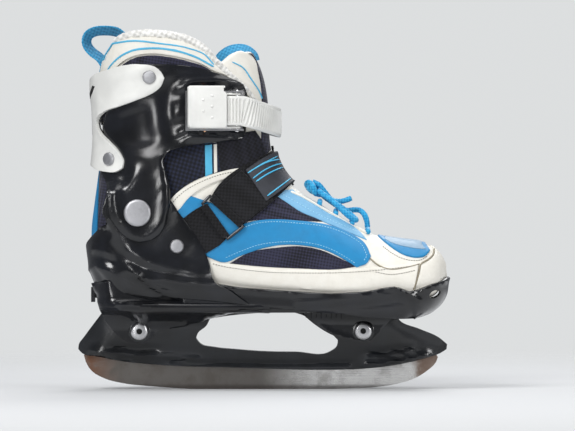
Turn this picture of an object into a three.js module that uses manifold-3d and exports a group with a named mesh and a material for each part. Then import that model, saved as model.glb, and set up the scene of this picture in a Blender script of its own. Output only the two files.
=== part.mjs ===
// An adjustable child's ice skate for the right foot: a soft boot in a black moulded shell, a hinged
// cuff closed by a ladder buckle, a hook-and-loop instep strap, laces, and a steel blade in a moulded
// holder. Millimetres. +X points to the toe, +Z up, -Y to the outer side of the foot. The origin is
// the middle of the blade's running edge.
import * as THREE from "three";
import { ParametricGeometry } from "three/addons/geometries/ParametricGeometry.js";
import { mergeVertices } from "three/addons/utils/BufferGeometryUtils.js";
import Module from "manifold-3d";

const wasm = await Module();
wasm.setup();

// ---------------------------------------------------------------- driving dimensions

const GAP = 0.3; // between parts that touch or run on each other
const LINER_GAP = 0.5; // between the soft boot and any hard shell
const WALL = 2.4; // every moulded shell wall
const BOOT_WALL = 5; // padded upper
const TOE_TRAVEL = 20; // size adjustment, the toe shell slides forward
const FORWARD_FLEX = 8; // degrees the cuff leans forward
const BACKWARD_FLEX = 3;

// Layers outwards from the boot's own surface.
const TOE_IN = LINER_GAP;
const TOE_OUT = TOE_IN + WALL;
const CUP_IN = TOE_OUT + GAP; // the heel shell where it covers the toe shell
const CUP_OUT = CUP_IN + WALL;
const CUFF_IN = LINER_GAP + WALL + GAP; // the cuff over the heel shell's upper part
const CUFF_OUT = CUFF_IN + WALL;
const BRACE_IN = CUFF_OUT + GAP;
const BRACE_OUT = BRACE_IN + WALL;

const BLADE_THICK = 3;
const BLADE_ROOT = 7; // depth of the blade inside its holder
const HOLDER_HALF = 13; // half width of the holder's posts
const HOLDER_TOP = 56.7;
const PLATE_BOTTOM = HOLDER_TOP + GAP;
const CHEEK_WALL = 3.2; // the lugs beside each post
const LUG_OUT = HOLDER_HALF + GAP + CHEEK_WALL;
const PIVOT = [-91, 130.2]; // cuff hinge, X and Z
const PAD_STANDS = 0.7; // the flat hinge pads over the widest place of the ankle's shell
const PIVOT_CAP_R = 10;
const PIVOT_SHANK_R = 4;
const PAD_R = 24; // top of the hinge pad about the pivot
const SPLIT_R = 26.6; // the boot's two halves part round this circle
const RIVET_R = 5;
const RIVET_FACETS = 12;
const REAR_BOLT = { x: -90.3, z: 42.9, head: 6.85, shank: 3, sleeve: 4.4 };
const FRONT_BOLT = { x: 74.7, z: 43.3, head: 6.5, shank: 3, sleeve: 4.4 };
const BOLT_HEAD_HIGH = 3;
const JOG_Z = 84; // height where the heel shell steps in above the toe shell
const TOE_SEAM_X = 109.5; // where the boot's sliding toe begins
const TONGUE_HALF = 21.5;
const STRAP_THICK = 2.4;
const STRAP_WIDE = 22;
const WEB_THICK = 1.5;
const LACE_R = 2;
const RING_WIRE_R = 1.1;

// Rings of the foot and ankle, toe first: a point on the top or front line, a point on the sole or
// back line (X, Z each), and the half width between them.
const RINGS = [
  [136.2, 89.5, 135, 81, 10], [132.5, 97.7, 132, 76, 24], [126.5, 104.3, 127, 69.5, 33],
  [116.9, 108.4, 117, 65, 38], [102.1, 110.3, 100.6, 63.3, 41.5], [87.3, 112.9, 81.4, 63.3, 43],
  [72.5, 119.1, 61.4, 63.3, 43], [57.7, 128, 39.2, 63.3, 42], [42.9, 136.9, 15.5, 63.3, 40.5],
  [29.6, 145, -8.9, 63.3, 39], [19.2, 153.2, -34.8, 63.5, 38], [11.8, 163.5, -62.2, 64, 37.5],
  [7.4, 174.6, -90.3, 65, 37], [6, 182, -108, 68.5, 36.5], [5.4, 189, -118.3, 80, 36],
  [5.2, 196, -123.6, 99.2, 36], [5, 203, -124.5, 117.7, 36], [4.4, 211, -122.3, 137.6, 36],
  [3.3, 219.5, -119.6, 158, 36], [1.5, 228.5, -117.4, 180, 36.5], [-1.5, 238, -117.6, 202, 37],
  [-6, 247, -119.4, 226, 38], [-11, 256, -116.2, 245, 38.5], [-16, 266, -110, 268, 39],
];
const LAST = RINGS.length - 1;
const ANKLE_RING = 16;
const PIVOT_PAD = RINGS[ANKLE_RING][4] + LINER_GAP + WALL + PAD_STANDS; // half width over the pads
const RING_SIDES = 20;
const TOP_POWER = 2.4; // roundness of a ring's upper half
const SOLE_POWER = [4, 2.5, 7, 14]; // of its lower half: foot value, shaft value, and the rings between
const SHELL_POWER = [7, 2.5, 9, 16]; // squarer, so the boot ahead clears them when the toe slides
const WAIST = [0.34, 0.5, 5, 12]; // height share of the widest place, in the same way
const CAVITY_START = 2; // first ring that the boot's inside reaches
const SKIRT_DROP = 15; // how far the toe shell's skirt hangs below the sole
const SKIRT_POWER = 9;
const SKIRT_START_X = 12;

// ---------------------------------------------------------------- solids

function solid(geometry) {
  geometry.deleteAttribute("normal");
  geometry.deleteAttribute("uv");
  const merged = mergeVertices(geometry, 1e-4);
  const faces = [];
  for (let i = 0; i < merged.index.count; i += 3) {
    const [a, b, c] = [0, 1, 2].map((k) => merged.index.getX(i + k));
    if (a !== b && b !== c && a !== c) faces.push(a, b, c);
  }
  const made = (order) => new wasm.Manifold(new wasm.Mesh({
    numProp: 3,
    vertProperties: merged.attributes.position.array,
    triVerts: new Uint32Array(order),
  }));
  const first = made(faces);
  return first.volume() > 0 ? first : made(faces.reverse());
}

const union = (...parts) => parts.reduce((a, b) => a.add(b));
const cut = (part, ...tools) => tools.reduce((a, b) => a.subtract(b), part);
const common = (...parts) => parts.reduce((a, b) => a.intersect(b));

function extruded(outline, depth, matrix = new THREE.Matrix4()) {
  const shape = new THREE.Shape(outline.map(([a, b]) => new THREE.Vector2(a, b)));
  const geometry = new THREE.ExtrudeGeometry(shape, { depth, bevelEnabled: false });
  return solid(geometry.applyMatrix4(matrix));
}

// A side-view outline (X, Z) given depth from one Y to another.
function slab(outline, from = -70, to = 70) {
  const turn = new THREE.Matrix4().makeRotationX(Math.PI / 2).setPosition(0, to, 0);
  return extruded(outline, to - from, turn);
}

// A plan outline (X, Y) given height.
function plan(outline, low, high) {
  return extruded(outline, high - low, new THREE.Matrix4().makeTranslation(0, 0, low));
}

// A front-view outline (Y, Z) given length along X.
function profile(outline, from, to) {
  const turn = new THREE.Matrix4().makeBasis(
    new THREE.Vector3(0, 1, 0), new THREE.Vector3(0, 0, 1), new THREE.Vector3(1, 0, 0));
  return extruded(outline, to - from, turn.setPosition(from, 0, 0));
}

function block(x0, x1, y0, y1, z0, z1, matrix = new THREE.Matrix4()) {
  const geometry = new THREE.BoxGeometry(x1 - x0, y1 - y0, z1 - z0);
  geometry.translate((x0 + x1) / 2, (y0 + y1) / 2, (z0 + z1) / 2);
  return solid(geometry.applyMatrix4(matrix));
}

// A round bar along Y.
function bar(radius, [x, z], from, to, facets = 16) {
  const geometry = new THREE.CylinderGeometry(radius, radius, to - from, facets);
  return solid(geometry.translate(x, (from + to) / 2, z));
}

function turned(points, facets, matrix = new THREE.Matrix4()) {
  const geometry = new THREE.LatheGeometry(points.map(([r, y]) => new THREE.Vector2(r, y)), facets);
  return solid(geometry.applyMatrix4(matrix));
}

// A closed smooth outline through a few points.
function rounded(points, samples = 40) {
  const curve = new THREE.CatmullRomCurve3(
    points.map(([x, z]) => new THREE.Vector3(x, z, 0)), true, "centripetal");
  return curve.getPoints(samples).slice(0, -1).map((p) => [p.x, p.y]);
}

function arc([x, z], radius, from, to, steps = 10) {
  return Array.from({ length: steps + 1 }, (_, i) => {
    const angle = THREE.MathUtils.degToRad(from + ((to - from) * i) / steps);
    return [x + radius * Math.cos(angle), z + radius * Math.sin(angle)];
  });
}

// A strip of even thickness along an open path, as an outline.
function strip(points, thick, samples = 18) {
  const path = new THREE.CatmullRomCurve3(
    points.map(([x, z]) => new THREE.Vector3(x, z, 0)), false, "centripetal");
  const sides = [[], []];
  for (let i = 0; i <= samples; i++) {
    const p = path.getPointAt(i / samples);
    const t = path.getTangentAt(i / samples);
    sides[0].push([p.x - (t.y * thick) / 2, p.y + (t.x * thick) / 2]);
    sides[1].unshift([p.x + (t.y * thick) / 2, p.y - (t.x * thick) / 2]);
  }
  return sides.flat();
}

const OUTER = -1; // Y sign of the outer side of the foot
const INNER = 1;
const sides = [["outer", OUTER], ["inner", INNER]];

// ---------------------------------------------------------------- the foot's surface

const line = (a, b) => new THREE.SplineCurve(RINGS.map((r) => new THREE.Vector2(r[a], r[b])));
const FRONT_LINE = line(0, 1);
const BACK_LINE = line(2, 3);
const ramp = ([a, b, from, to], ring) =>
  THREE.MathUtils.lerp(a, b, THREE.MathUtils.clamp((ring - from) / (to - from), 0, 1));

function between(values, ring) {
  const i = Math.min(Math.floor(ring), LAST - 1);
  return THREE.MathUtils.lerp(values[i], values[i + 1], ring - i);
}

// Shells are as wide as the boot is anywhere within the toe's travel ahead, so the toe can slide.
const BOOT_HALF = RINGS.map((r) => r[4]);
const SHELL_HALF = RINGS.map((r, i) => {
  const reach = RINGS.slice(0, i).filter((q) => q[2] <= r[2] + TOE_TRAVEL * 1.4);
  return Math.max(r[4], ...reach.map((q) => q[4]));
});


function surface(ring, angle, halves, drop = 0) {
  const v = THREE.MathUtils.clamp(ring / LAST, 0, 1);
  const front = FRONT_LINE.getPoint(v);
  const back = BACK_LINE.getPoint(v);
  const middle = back.clone().lerp(front, ramp(WAIST, ring));
  const up = Math.cos(angle);
  const side = Math.sin(angle);
  const square = ramp(halves === SHELL_HALF ? SHELL_POWER : SOLE_POWER, ring);
  const power = up > 0 ? TOP_POWER : drop ? SKIRT_POWER : square;
  const along = Math.abs(up) ** (2 / power);
  const end = up > 0 ? front : back;
  const lower = up > 0 ? 0 : drop;
  return new THREE.Vector3(
    middle.x + along * (end.x - middle.x),
    Math.sign(side) * Math.abs(side) ** (2 / power) * between(halves, ring),
    middle.y + along * (end.y - lower - middle.y),
  );
}

function outward(ring, angle, halves, drop) {
  const e = 0.02;
  const low = Math.max(ring - e, 0);
  const high = Math.min(ring + e, LAST);
  const across = surface(ring, angle + e, halves, drop).sub(surface(ring, angle - e, halves, drop));
  const along = surface(high, angle, halves, drop).sub(surface(low, angle, halves, drop));
  return across.cross(along).normalize();
}

// The foot's form, grown or shrunk by an offset, as a closed solid from one ring to the top.
function form(offset, { halves = SHELL_HALF, first = 0, drop = 0 } = {}) {
  const count = LAST - first + 1;
  const place = (u, v, target) => {
    const step = Math.round(v * (count + 1));
    const ring = first + THREE.MathUtils.clamp(step - 1, 0, count - 1);
    if (step === 0 || step === count + 1) {
      const a = surface(ring, 0, halves, drop);
      const b = surface(ring, Math.PI, halves, drop);
      target.copy(a.lerp(b, 0.5));
      if (step === 0 && first === 0) target.x += Math.max(offset, 0) + 0.8;
      return;
    }
    const angle = (u % 1) * 2 * Math.PI;
    target.copy(surface(ring, angle, halves, drop));
    target.addScaledVector(outward(ring, angle, halves, drop), offset);
  };
  return solid(new ParametricGeometry(place, RING_SIDES, count + 1));
}

// The surface point and outward normal seen at a side-view place (X, Z), on one side.
function seat(x, z, side, offset = 0) {
  let best = null;
  const closer = (ring, angle) => {
    const p = surface(ring, angle, SHELL_HALF);
    const n = outward(ring, angle, SHELL_HALF);
    p.addScaledVector(n, offset);
    const miss = Math.hypot(p.x - x, p.z - z);
    if (!best || miss < best.miss) best = { miss, ring, angle, p, n };
  };
  const start = side === INNER ? 0.02 : Math.PI + 0.02;
  for (let r = 2; r < LAST; r += 0.25)
    for (let a = 0; a < 60; a++) closer(r, start + (a / 60) * (Math.PI - 0.04));
  for (let span = 0.2; span > 1e-4; span *= 0.6) {
    const { ring, angle } = best;
    for (const dr of [-span, 0, span])
      for (const da of [-span / 3, 0, span / 3]) closer(ring + dr, angle + da);
  }
  return best;
}

// The frame of a fastener that stands on the surface there: +Y of the fastener points outwards.
function upright(x, z, side, offset) {
  const { p, n } = seat(x, z, side, offset);
  const turn = new THREE.Quaternion().setFromUnitVectors(new THREE.Vector3(0, 1, 0), n);
  return new THREE.Matrix4().compose(p, turn, new THREE.Vector3(1, 1, 1));
}

// ---------------------------------------------------------------- materials and nodes

const finish = (color, roughness, metalness = 0) =>
  new THREE.MeshStandardMaterial({ color, roughness, metalness });
const BLACK_PLASTIC = finish(0x17191d, 0.32);
const WHITE_PLASTIC = finish(0xe6e6e2, 0.4);
const BOOT_WHITE = finish(0xe6e2d8, 0.55);
const LINING = finish(0x2a2a30, 0.9);
const BLUE_WEB = finish(0x2f8fd0, 0.75);
const LACE_BLUE = finish(0x1c9be0, 0.6);
const BLACK_WEB = finish(0x17171a, 0.85);
const RUBBER = finish(0x303238, 0.6);
const STEEL = finish(0xb8b8ba, 0.3, 1);
const BLADE_STEEL = finish(0x8d8880, 0.45, 1);
const ALUMINIUM = finish(0xa8a8ac, 0.4, 1);
const COPPER = finish(0xb07850, 0.35, 1);

const skate = new THREE.Group();

function add(name, part, material, parent = skate) {
  const mesh = part.getMesh();
  const geometry = new THREE.BufferGeometry();
  geometry.setAttribute("position", new THREE.BufferAttribute(mesh.vertProperties.slice(), 3));
  geometry.setIndex(new THREE.BufferAttribute(mesh.triVerts.slice(), 1));
  const node = new THREE.Mesh(geometry, material);
  node.name = name;
  parent.add(node);
}

// ---------------------------------------------------------------- blade and holder

const EDGE = [
  [-131.7, 25.2], [-130.2, 20], [-125.8, 13.3], [-116.9, 8.1], [-101.4, 4.1], [-82.9, 2.2],
  [-66, 0.9], [-50, 0], [50, 0], [66, 0.6], [83.6, 1.5], [102.1, 4.4], [113.2, 8.1],
  [122.8, 14.1], [128.8, 20], [130.2, 23.7],
];
const HOLDER_FOOT = [
  [-132.5, 26.3], [-122.8, 24.4], [-101.4, 20.4], [-77, 18.1], [-16.3, 15.9], [50.3, 14.4],
  [76.2, 15.2], [102.1, 18.5], [124.3, 24.1], [131.7, 26.6],
];
const HOLDER_OUTLINE = [
  [-118, HOLDER_TOP], [-131.7, 38.5], [-135.4, 33.3], [-135.8, 29.6], ...HOLDER_FOOT,
  [136.5, 29.6], [136.9, 33.3], [131.7, 37.7], [116.9, 44.4], [102.1, 50.7], [98, HOLDER_TOP],
  [24.4, HOLDER_TOP], [30.3, 54.8], [51.8, 40.7], [56.2, 36.3], [55.5, 31.8], [50.3, 27.8],
  [0, 28.1], [-34.8, 31.1], [-45.9, 34], [-48.8, 37.7], [-47.4, 41.4], [-40.7, 47.4],
  [-38.5, 52.2], [-16.3, 55.4], [2.2, HOLDER_TOP],
];
const HOLDER_PLAN = [
  [-136, 3], [-118, 9.5], [-100, HOLDER_HALF], [92, HOLDER_HALF], [112, 9.5], [137, 3],
];
const HOLDER_PROFILE = [[5, 12], [7.5, 28], [HOLDER_HALF, 45], [HOLDER_HALF, HOLDER_TOP]];

const symmetric = (half) => [...half, ...half.map(([a, b]) => [a, -b]).reverse()];
const symmetricProfile = (half) => [...half, ...half.map(([a, b]) => [-a, b]).reverse()];

function bladeOutline(grow) {
  const inner = HOLDER_FOOT.slice(1, -1);
  const ends = [
    [EDGE[0][0] - grow, EDGE[0][1] + 4], [EDGE.at(-1)[0] + grow, EDGE.at(-1)[1] + 6],
  ];
  const top = [ends[0], ...inner, ends[1]].map(([x, z], i) =>
    i === 0 || i === inner.length + 1 ? [x, z + grow] : [x, z + BLADE_ROOT + grow]);
  const low = grow ? EDGE.map(([x, z], i) =>
    [i === 0 ? x - grow : i === EDGE.length - 1 ? x + grow : x, z - grow]) : EDGE;
  return [...low, ...top.reverse()];
}

function boltSolids({ x, z, head, shank, sleeve }) {
  const seatY = LUG_OUT + GAP;
  const at = [x, z];
  const dome = (sign) => turned(
    [[0, 0], [head, 0], [head, 1.2], [head * 0.72, BOLT_HEAD_HIGH], [0, BOLT_HEAD_HIGH]], 16,
    new THREE.Matrix4().makeTranslation(x, sign * seatY, z).multiply(
      new THREE.Matrix4().makeRotationX(sign > 0 ? 0 : Math.PI)));
  const socket = new THREE.CylinderGeometry(2.3, 2.3, 4, 6).translate(
    x, -seatY - BOLT_HEAD_HIGH, z);
  return {
    bolt: cut(union(dome(OUTER), bar(shank, at, -seatY - 0.5, 11)), solid(socket)),
    nut: cut(union(dome(INNER), bar(sleeve, at, 1, seatY + 0.5)), bar(shank + GAP, at, 0, 14)),
    hole: union(
      bar(shank + GAP, at, -30, 1), bar(sleeve + GAP, at, 1 - GAP, 30),
      bar(head + GAP, at, -60, -LUG_OUT), bar(head + GAP, at, LUG_OUT, 60)),
  };
}
const rear = boltSolids(REAR_BOLT);
const front = boltSolids(FRONT_BOLT);

function makeHolder() {
  const body = common(
    slab(HOLDER_OUTLINE),
    plan(symmetric(HOLDER_PLAN), 0, 70),
    profile(symmetricProfile(HOLDER_PROFILE), -150, 150),
  );
  const half = BLADE_THICK / 2 + GAP;
  return cut(body, slab(bladeOutline(GAP), -half, half), rear.hole, front.hole);
}
add("blade", slab(bladeOutline(0), -BLADE_THICK / 2, BLADE_THICK / 2), BLADE_STEEL);
add("blade_holder", makeHolder(), BLACK_PLASTIC);
add("rear_bolt", rear.bolt, STEEL);
add("rear_nut", rear.nut, STEEL);
add("front_bolt", front.bolt, STEEL);
add("front_nut", front.nut, STEEL);

// ---------------------------------------------------------------- heel shell with its sole plate

const FRONT_EDGE = [[-66.6, 139.9], [-63.6, 134.7], [-37, 89.5]]; // the shell's open front edge
const PLATE_TOP = RINGS[5][3] - CUP_IN;
const HEEL_OUTLINE = [
  [-118.4, PLATE_BOTTOM], [-121.4, 65.9], [-124.3, 74.7], [-126.5, 84.4], [-132, 94], [-132, 106],
  [-123.6, 109.5], [-119.9, 115.4], [-117.7, 118.4], [-112.5, 121.4],
  ...arc(PIVOT, PAD_R, 190, 45, 8), ...FRONT_EDGE,
  [-36.3, 84.4], [-33.3, 79.2], [-25.2, 75.5], [-12.6, 68.8], [2.2, 62.9], [5.9, 61.4],
  [5.9, PLATE_BOTTOM],
];
const REAR_LUG = [
  [-118.4, PLATE_BOTTOM], [-111, 45.1], [-101.4, 36.3], [-90.3, 33.3], [-79.2, 38],
  [-75.5, 45.9], [-45.9, 49.6], [-16.3, PLATE_BOTTOM],
];
const FRONT_LUG = [
  [30.3, 54.8], [51.1, 41.5], [65.1, 36.3], [74.7, 34], [83.6, 36.5], [91, 44], [95, 52],
  [96, PLATE_BOTTOM + 0.5], [28, PLATE_BOTTOM + 0.5],
];
const PLATE_PLAN = [[-112, 18], [-96, 27], [60, 28], [86, 26], [97, 17]];
const PEDESTAL = [[LUG_OUT, 30], [LUG_OUT, 46], [29, 59], [40, 73], [42, 86]];

function cheeks(outline) {
  return sides.map(([, sign]) => {
    const [a, b] = [sign * (HOLDER_HALF + GAP), sign * LUG_OUT].sort((p, q) => p - q);
    return slab(outline, a, b);
  });
}

function hingePads() {
  const outline = slab([...arc(PIVOT, PAD_R, 215, 45, 10), ...FRONT_EDGE, [-60, 108]]);
  return sides.map(([, sign]) => {
    const [a, b] = [sign * 18, sign * PIVOT_PAD].sort((p, q) => p - q);
    return common(outline, block(-150, 0, a, b, 100, 170));
  });
}

const foot = {
  bootOuter: form(0, { halves: BOOT_HALF }),
  cavity: form(-BOOT_WALL, { halves: BOOT_HALF, first: CAVITY_START }),
  liner: form(LINER_GAP),
  toeOut: form(TOE_OUT),
  cupIn: form(CUP_IN),
  cupOut: form(CUP_OUT),
};

const STEM_R = 2.5;
const BUTTON = { z: 70, x: -122.6, proud: 3.6 };

function makeHeelShell() {
  const low = block(-200, 200, -90, 90, 0, JOG_Z + 3);
  const high = block(-200, 200, -90, 90, JOG_Z, 300);
  const outside = union(common(foot.cupOut, low), common(foot.toeOut, high));
  const cup = common(outside, slab(HEEL_OUTLINE));
  const lugs = [...cheeks(REAR_LUG), ...cheeks(FRONT_LUG)];
  const base = common(
    slab([...REAR_LUG.slice(0, -1), [-16.3, PLATE_BOTTOM], [-16.3, 66], [-60, 76], [-122, 76]]),
    profile(symmetricProfile(PEDESTAL), -150, 0),
  );
  const hollow = PEDESTAL.map(([y, z]) => [y - CHEEK_WALL, z]);
  const under = common(
    profile(symmetricProfile(hollow), -150, 0), block(-160, 10, -60, 60, 0, PLATE_BOTTOM));
  const plate = plan(symmetric(PLATE_PLAN), PLATE_BOTTOM, PLATE_TOP + 2);
  const shell = union(cup, plate, ...hingePads(), cut(base, under), ...lugs);
  const inside = union(foot.liner, common(foot.cupIn, block(-200, 200, -90, 90, 0, JOG_Z)));
  const slot = STEM_R + GAP;
  const stem = block(-140, -100, -slot, slot, BUTTON.z - slot, BUTTON.z + slot);
  const pins = bar(PIVOT_SHANK_R + GAP, PIVOT, -60, 60);
  return cut(shell, inside, rear.hole, front.hole, pins, stem, ...strapRivets.map((r) => r.hole));
}

// A rivet: a domed head on the surface and a shank into the layers below it.
function rivet(x, z, side, offset, depth, radius = RIVET_R, high = 2.2, shank = 2) {
  const frame = upright(x, z, side, offset + GAP);
  const head = turned([[0, -depth], [shank, -depth], [shank, 0], [radius, 0], [radius, high * 0.4],
    [radius * 0.7, high], [0, high]], RIVET_FACETS, frame);
  const hole = turned([[0, -depth - 4], [shank + GAP, -depth - 4], [shank + GAP, 3], [0, 3]],
    RIVET_FACETS, frame);
  return { head, hole };
}
const strapRivets = sides.map(([, sign]) =>
  rivet(-62.2, 105.8, sign, TOE_OUT, WALL + GAP * 1.5, RIVET_R + 0.2));

add("heel_shell", makeHeelShell(), BLACK_PLASTIC);
sides.forEach(([label], i) => add(`strap_rivet_${label}`, strapRivets[i].head, ALUMINIUM));

// Press button at the back that frees the size adjustment.
function makeButton() {
  const { x, z, proud } = BUTTON;
  const cap = block(x - proud, x - 0.9, -7, 7, z - 5.5, z + 5.5);
  return union(cap, block(x - proud, x + WALL, -STEM_R, STEM_R, z - STEM_R, z + STEM_R));
}
add("size_button", makeButton(), BLACK_PLASTIC);

// ---------------------------------------------------------------- toe shell

const TOE_OUTLINE = [
  [-60, 79.5], [-34, 79.2], [-16.3, 75.9], [20.7, 73.3], [50.3, 71.4], [76.2, 72.9], [91, 75.9],
  [96.9, 76.6], [102.1, 75.5], [108, 72.9], [113.2, 73.6], [124.3, 77.7], [131.7, 79.9],
  [136.9, 82.9], [139, 83.5], [139, 75], [135.4, 69.6], [131.7, 62.9], [125.8, 57], [118.4, 53.3],
  [111, 51.8], [102.1, 51.8], [91, 52.5], [76.2, 53.3], [57.7, 56.2], [28.1, 59.2], [26.6, 60.4],
  [20.7, 60.4], [-60, 60.2],
];
const VENT = { x: 127.3, z: 71, long: 4.1, high: 2.6, tilt: 24 };

function makeToeShell() {
  const skirt = cut(form(TOE_OUT, { drop: SKIRT_DROP }), form(TOE_IN, { drop: SKIRT_DROP }));
  const skirtPart = common(skirt, block(SKIRT_START_X, 200, -90, 90, 0, 120));
  const walls = union(skirtPart, cut(foot.toeOut, foot.liner));
  const ring = Array.from({ length: 18 }, (_, i) => (i / 18) * 2 * Math.PI);
  const tilt = THREE.MathUtils.degToRad(VENT.tilt);
  const oval = ring.map((a) => {
    const [p, q] = [VENT.long * Math.cos(a), VENT.high * Math.sin(a)];
    const [along, up] = [p * Math.cos(tilt) - q * Math.sin(tilt), p * Math.sin(tilt) + q * Math.cos(tilt)];
    return [VENT.x + along, VENT.z + up];
  });
  return cut(common(walls, slab(TOE_OUTLINE)), slab(oval, -70, -22), slab(oval, 22, 70));
}
add("toe_shell", makeToeShell(), BLACK_PLASTIC);

// ---------------------------------------------------------------- soft boot

// The region about the pivot from one angle round to another, outside a circle: what tilts.
function sector(from, to, radius) {
  const far = arc(PIVOT, 320, to, from, 8);
  return slab([...arc(PIVOT, radius, from, to, 12), ...far]);
}
const LOWER_TO = 20; // degrees at the pivot of the lower boot's upper edge
const SHAFT_FROM = LOWER_TO + FORWARD_FLEX + 7; // of the shaft's lower edge, so it can lean forward
const SHAFT_TO = 180;
const LOWER_FROM = SHAFT_TO + BACKWARD_FLEX + 1.5;
const COLLAR = [
  [-170, 300], [-170, 248], [-113, 252], [-106.6, 259.7], [-90.3, 262.3], [-71.8, 261.6],
  [-53.3, 257.5], [-42.2, 250.9], [-34, 242], [-22, 232], [-8, 221], [40, 205], [40, 300],
];
const TONGUE_TOP = [
  [40, 225], [2, 236], [-4, 245.5], [-14, 250.5], [-24, 249.5], [-36, 241], [-70, 238], [-70, 320],
  [40, 320],
];

function makeBoot() {
  const wall = cut(foot.bootOuter, foot.cavity);
  const front = block(TOE_SEAM_X, 200, -90, 90, 0, 200);
  const throat = block(-50, 60, -TONGUE_HALF - GAP, TONGUE_HALF + GAP, 100, 320);
  const tongueBlock = block(-50, 60, -TONGUE_HALF, TONGUE_HALF, 100, 320);
  const tilting = sector(SHAFT_FROM, SHAFT_TO, SPLIT_R);
  return {
    boot_toe: common(wall, front),
    boot_lower: cut(
      wall, block(TOE_SEAM_X - GAP, 200, -90, 90, 0, 200), sector(LOWER_TO, LOWER_FROM, SPLIT_R - 2 * GAP)),
    boot_shaft: cut(common(wall, tilting), throat, slab(COLLAR)),
    tongue: cut(common(wall, tilting, tongueBlock), slab(TONGUE_TOP)),
  };
}
const boot = makeBoot();
add("boot_lower", boot.boot_lower, BOOT_WHITE);
add("boot_toe", boot.boot_toe, BOOT_WHITE);
add("boot_shaft", boot.boot_shaft, BOOT_WHITE);
add("tongue", boot.tongue, BOOT_WHITE);

// The insole lies on the bottom of the boot's inside.
function makeFootbed() {
  const inside = form(-BOOT_WALL - GAP, { halves: BOOT_HALF, first: CAVITY_START });
  const floor = RINGS[5][3] + BOOT_WALL;
  return common(inside, block(-98, TOE_SEAM_X - 2, -60, 60, floor, floor + 4));
}
add("footbed", makeFootbed(), LINING);

// ---------------------------------------------------------------- cuff and back brace

const CUFF_OUTLINE = [
  [-97.7, 239], [-82.9, 239.4], [-57, 238.7], [-45.9, 236.8], [-34.8, 233.1], [-23.7, 228.7],
  [-16.3, 224.2], [-14.1, 220.5], [-14.1, 187.2], [-16.3, 185], [-27.4, 182.8], [-45.9, 180.6],
  [-64.4, 176.9], [-69.6, 174.6], [-71, 170.9], [-70.3, 163.5], [-68.1, 154.7], [-67.3, 139.9],
  [-67.3, 135.4], [-68.8, 128.8], [-71, 119.1], [-77, 111.7], [-85.1, 108.8], [-94, 110.3],
  [-102.1, 116.2], [-107.3, 125.1], [-110.3, 133.9], [-110.3, 143.6], [-111, 151], [-113, 158.4],
  [-117, 164], [-114, 175], [-108.8, 185.7], [-108.8, 195.4], [-103.6, 205], [-104, 222],
];
const CUFF_STEP = [160, 168]; // the flat hinge plate meets the curved shell between these heights
const PLATE_BEND = 156; // above this height the plate stays in front of the back brace
const PLATE_BACK = -96;
const PLATE_IN = PIVOT_PAD + GAP;
const PLATE_OUT = PLATE_IN + 3;
const BRACE_OUTLINE = rounded([
  [-117.7, 230.1], [-108.8, 234.6], [-97.7, 238.3], [-86.6, 239], [-77.7, 237.5], [-71, 229.4],
  [-79.2, 218.3], [-101.4, 208.7], [-110.3, 205], [-114.7, 196.1], [-112.5, 189.4],
  [-106.6, 182], [-98.4, 168], [-103.6, 159.8], [-116.2, 162.1], [-128, 168], [-132, 183],
  [-132, 203], [-130, 222],
]);
const BRACE_RIVETS = [["upper", -81.4, 230.1], ["lower", -107.5, 169.5]];
const BRACE_SLOTS = [
  [[-121.5, 215], [-118.5, 226], [-116, 224], [-119, 213]],
  [[-122.5, 190], [-122, 206], [-119, 206], [-119.5, 190]],
];

const braceRivets = BRACE_RIVETS.flatMap(([label, x, z]) => sides.map(([sideName, sign]) => ({
  name: `brace_rivet_${label}_${sideName}`,
  ...rivet(x, z, sign, BRACE_OUT, 2 * WALL + GAP),
})));

// The ladder buckle's own frame on the outer side: X along the strap, -Y outwards, Z up.
const BUCKLE = { x: -41, y: -42.2, z: 205, turn: 8 };
const buckleFrame = new THREE.Matrix4().makeTranslation(BUCKLE.x, BUCKLE.y, BUCKLE.z).multiply(
  new THREE.Matrix4().makeRotationZ(THREE.MathUtils.degToRad(BUCKLE.turn)));
const BASE = { back: -15, front: 27, low: -14.6, high: 14.6, wall: 1.2, ears: 8 };

function makeCuff(sign) {
  const shell = common(cut(form(CUFF_OUT), form(CUFF_IN)), slab(CUFF_OUTLINE),
    block(-200, 50, -90, 90, CUFF_STEP[0], 300));
  const [a, b] = [sign * PLATE_IN, sign * PLATE_OUT].sort((p, q) => p - q);
  const plate = common(slab(CUFF_OUTLINE), union(
    block(-111.5, 0, a, b, 100, PLATE_BEND), block(PLATE_BACK, 0, a, b, 100, CUFF_STEP[1])));
  const [c, d] = [sign * 25, sign * PLATE_OUT].sort((p, q) => p - q);
  const step = cut(common(slab(CUFF_OUTLINE), block(PLATE_BACK, 0, c, d, ...CUFF_STEP)), form(CUFF_IN));
  const half = sign > 0 ? block(-200, 50, 8, 90, 0, 300) : block(-200, 50, -90, -8, 0, 300);
  const parts = [common(shell, half), plate, step];
  if (sign === OUTER) {
    const pad = block(BASE.back - 3, BASE.front - 1, 0, 8, BASE.low - 2, BASE.high + 2, buckleFrame);
    parts.push(common(cut(pad, form(CUFF_IN)), slab(CUFF_OUTLINE)));
  }
  return cut(union(...parts), bar(PIVOT_SHANK_R + GAP, PIVOT, -60, 60), ...braceRivets.map((r) => r.hole),
    ...(sign === INNER ? [ladderRivet.hole] : []));
}

function makeBrace() {
  const shell = common(cut(form(BRACE_OUT), form(BRACE_IN)), slab(BRACE_OUTLINE));
  const slots = BRACE_SLOTS.map((outline) => slab(outline));
  return cut(shell, ...slots, ...braceRivets.map((r) => r.hole));
}

// ---------------------------------------------------------------- ladder strap and buckle

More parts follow.
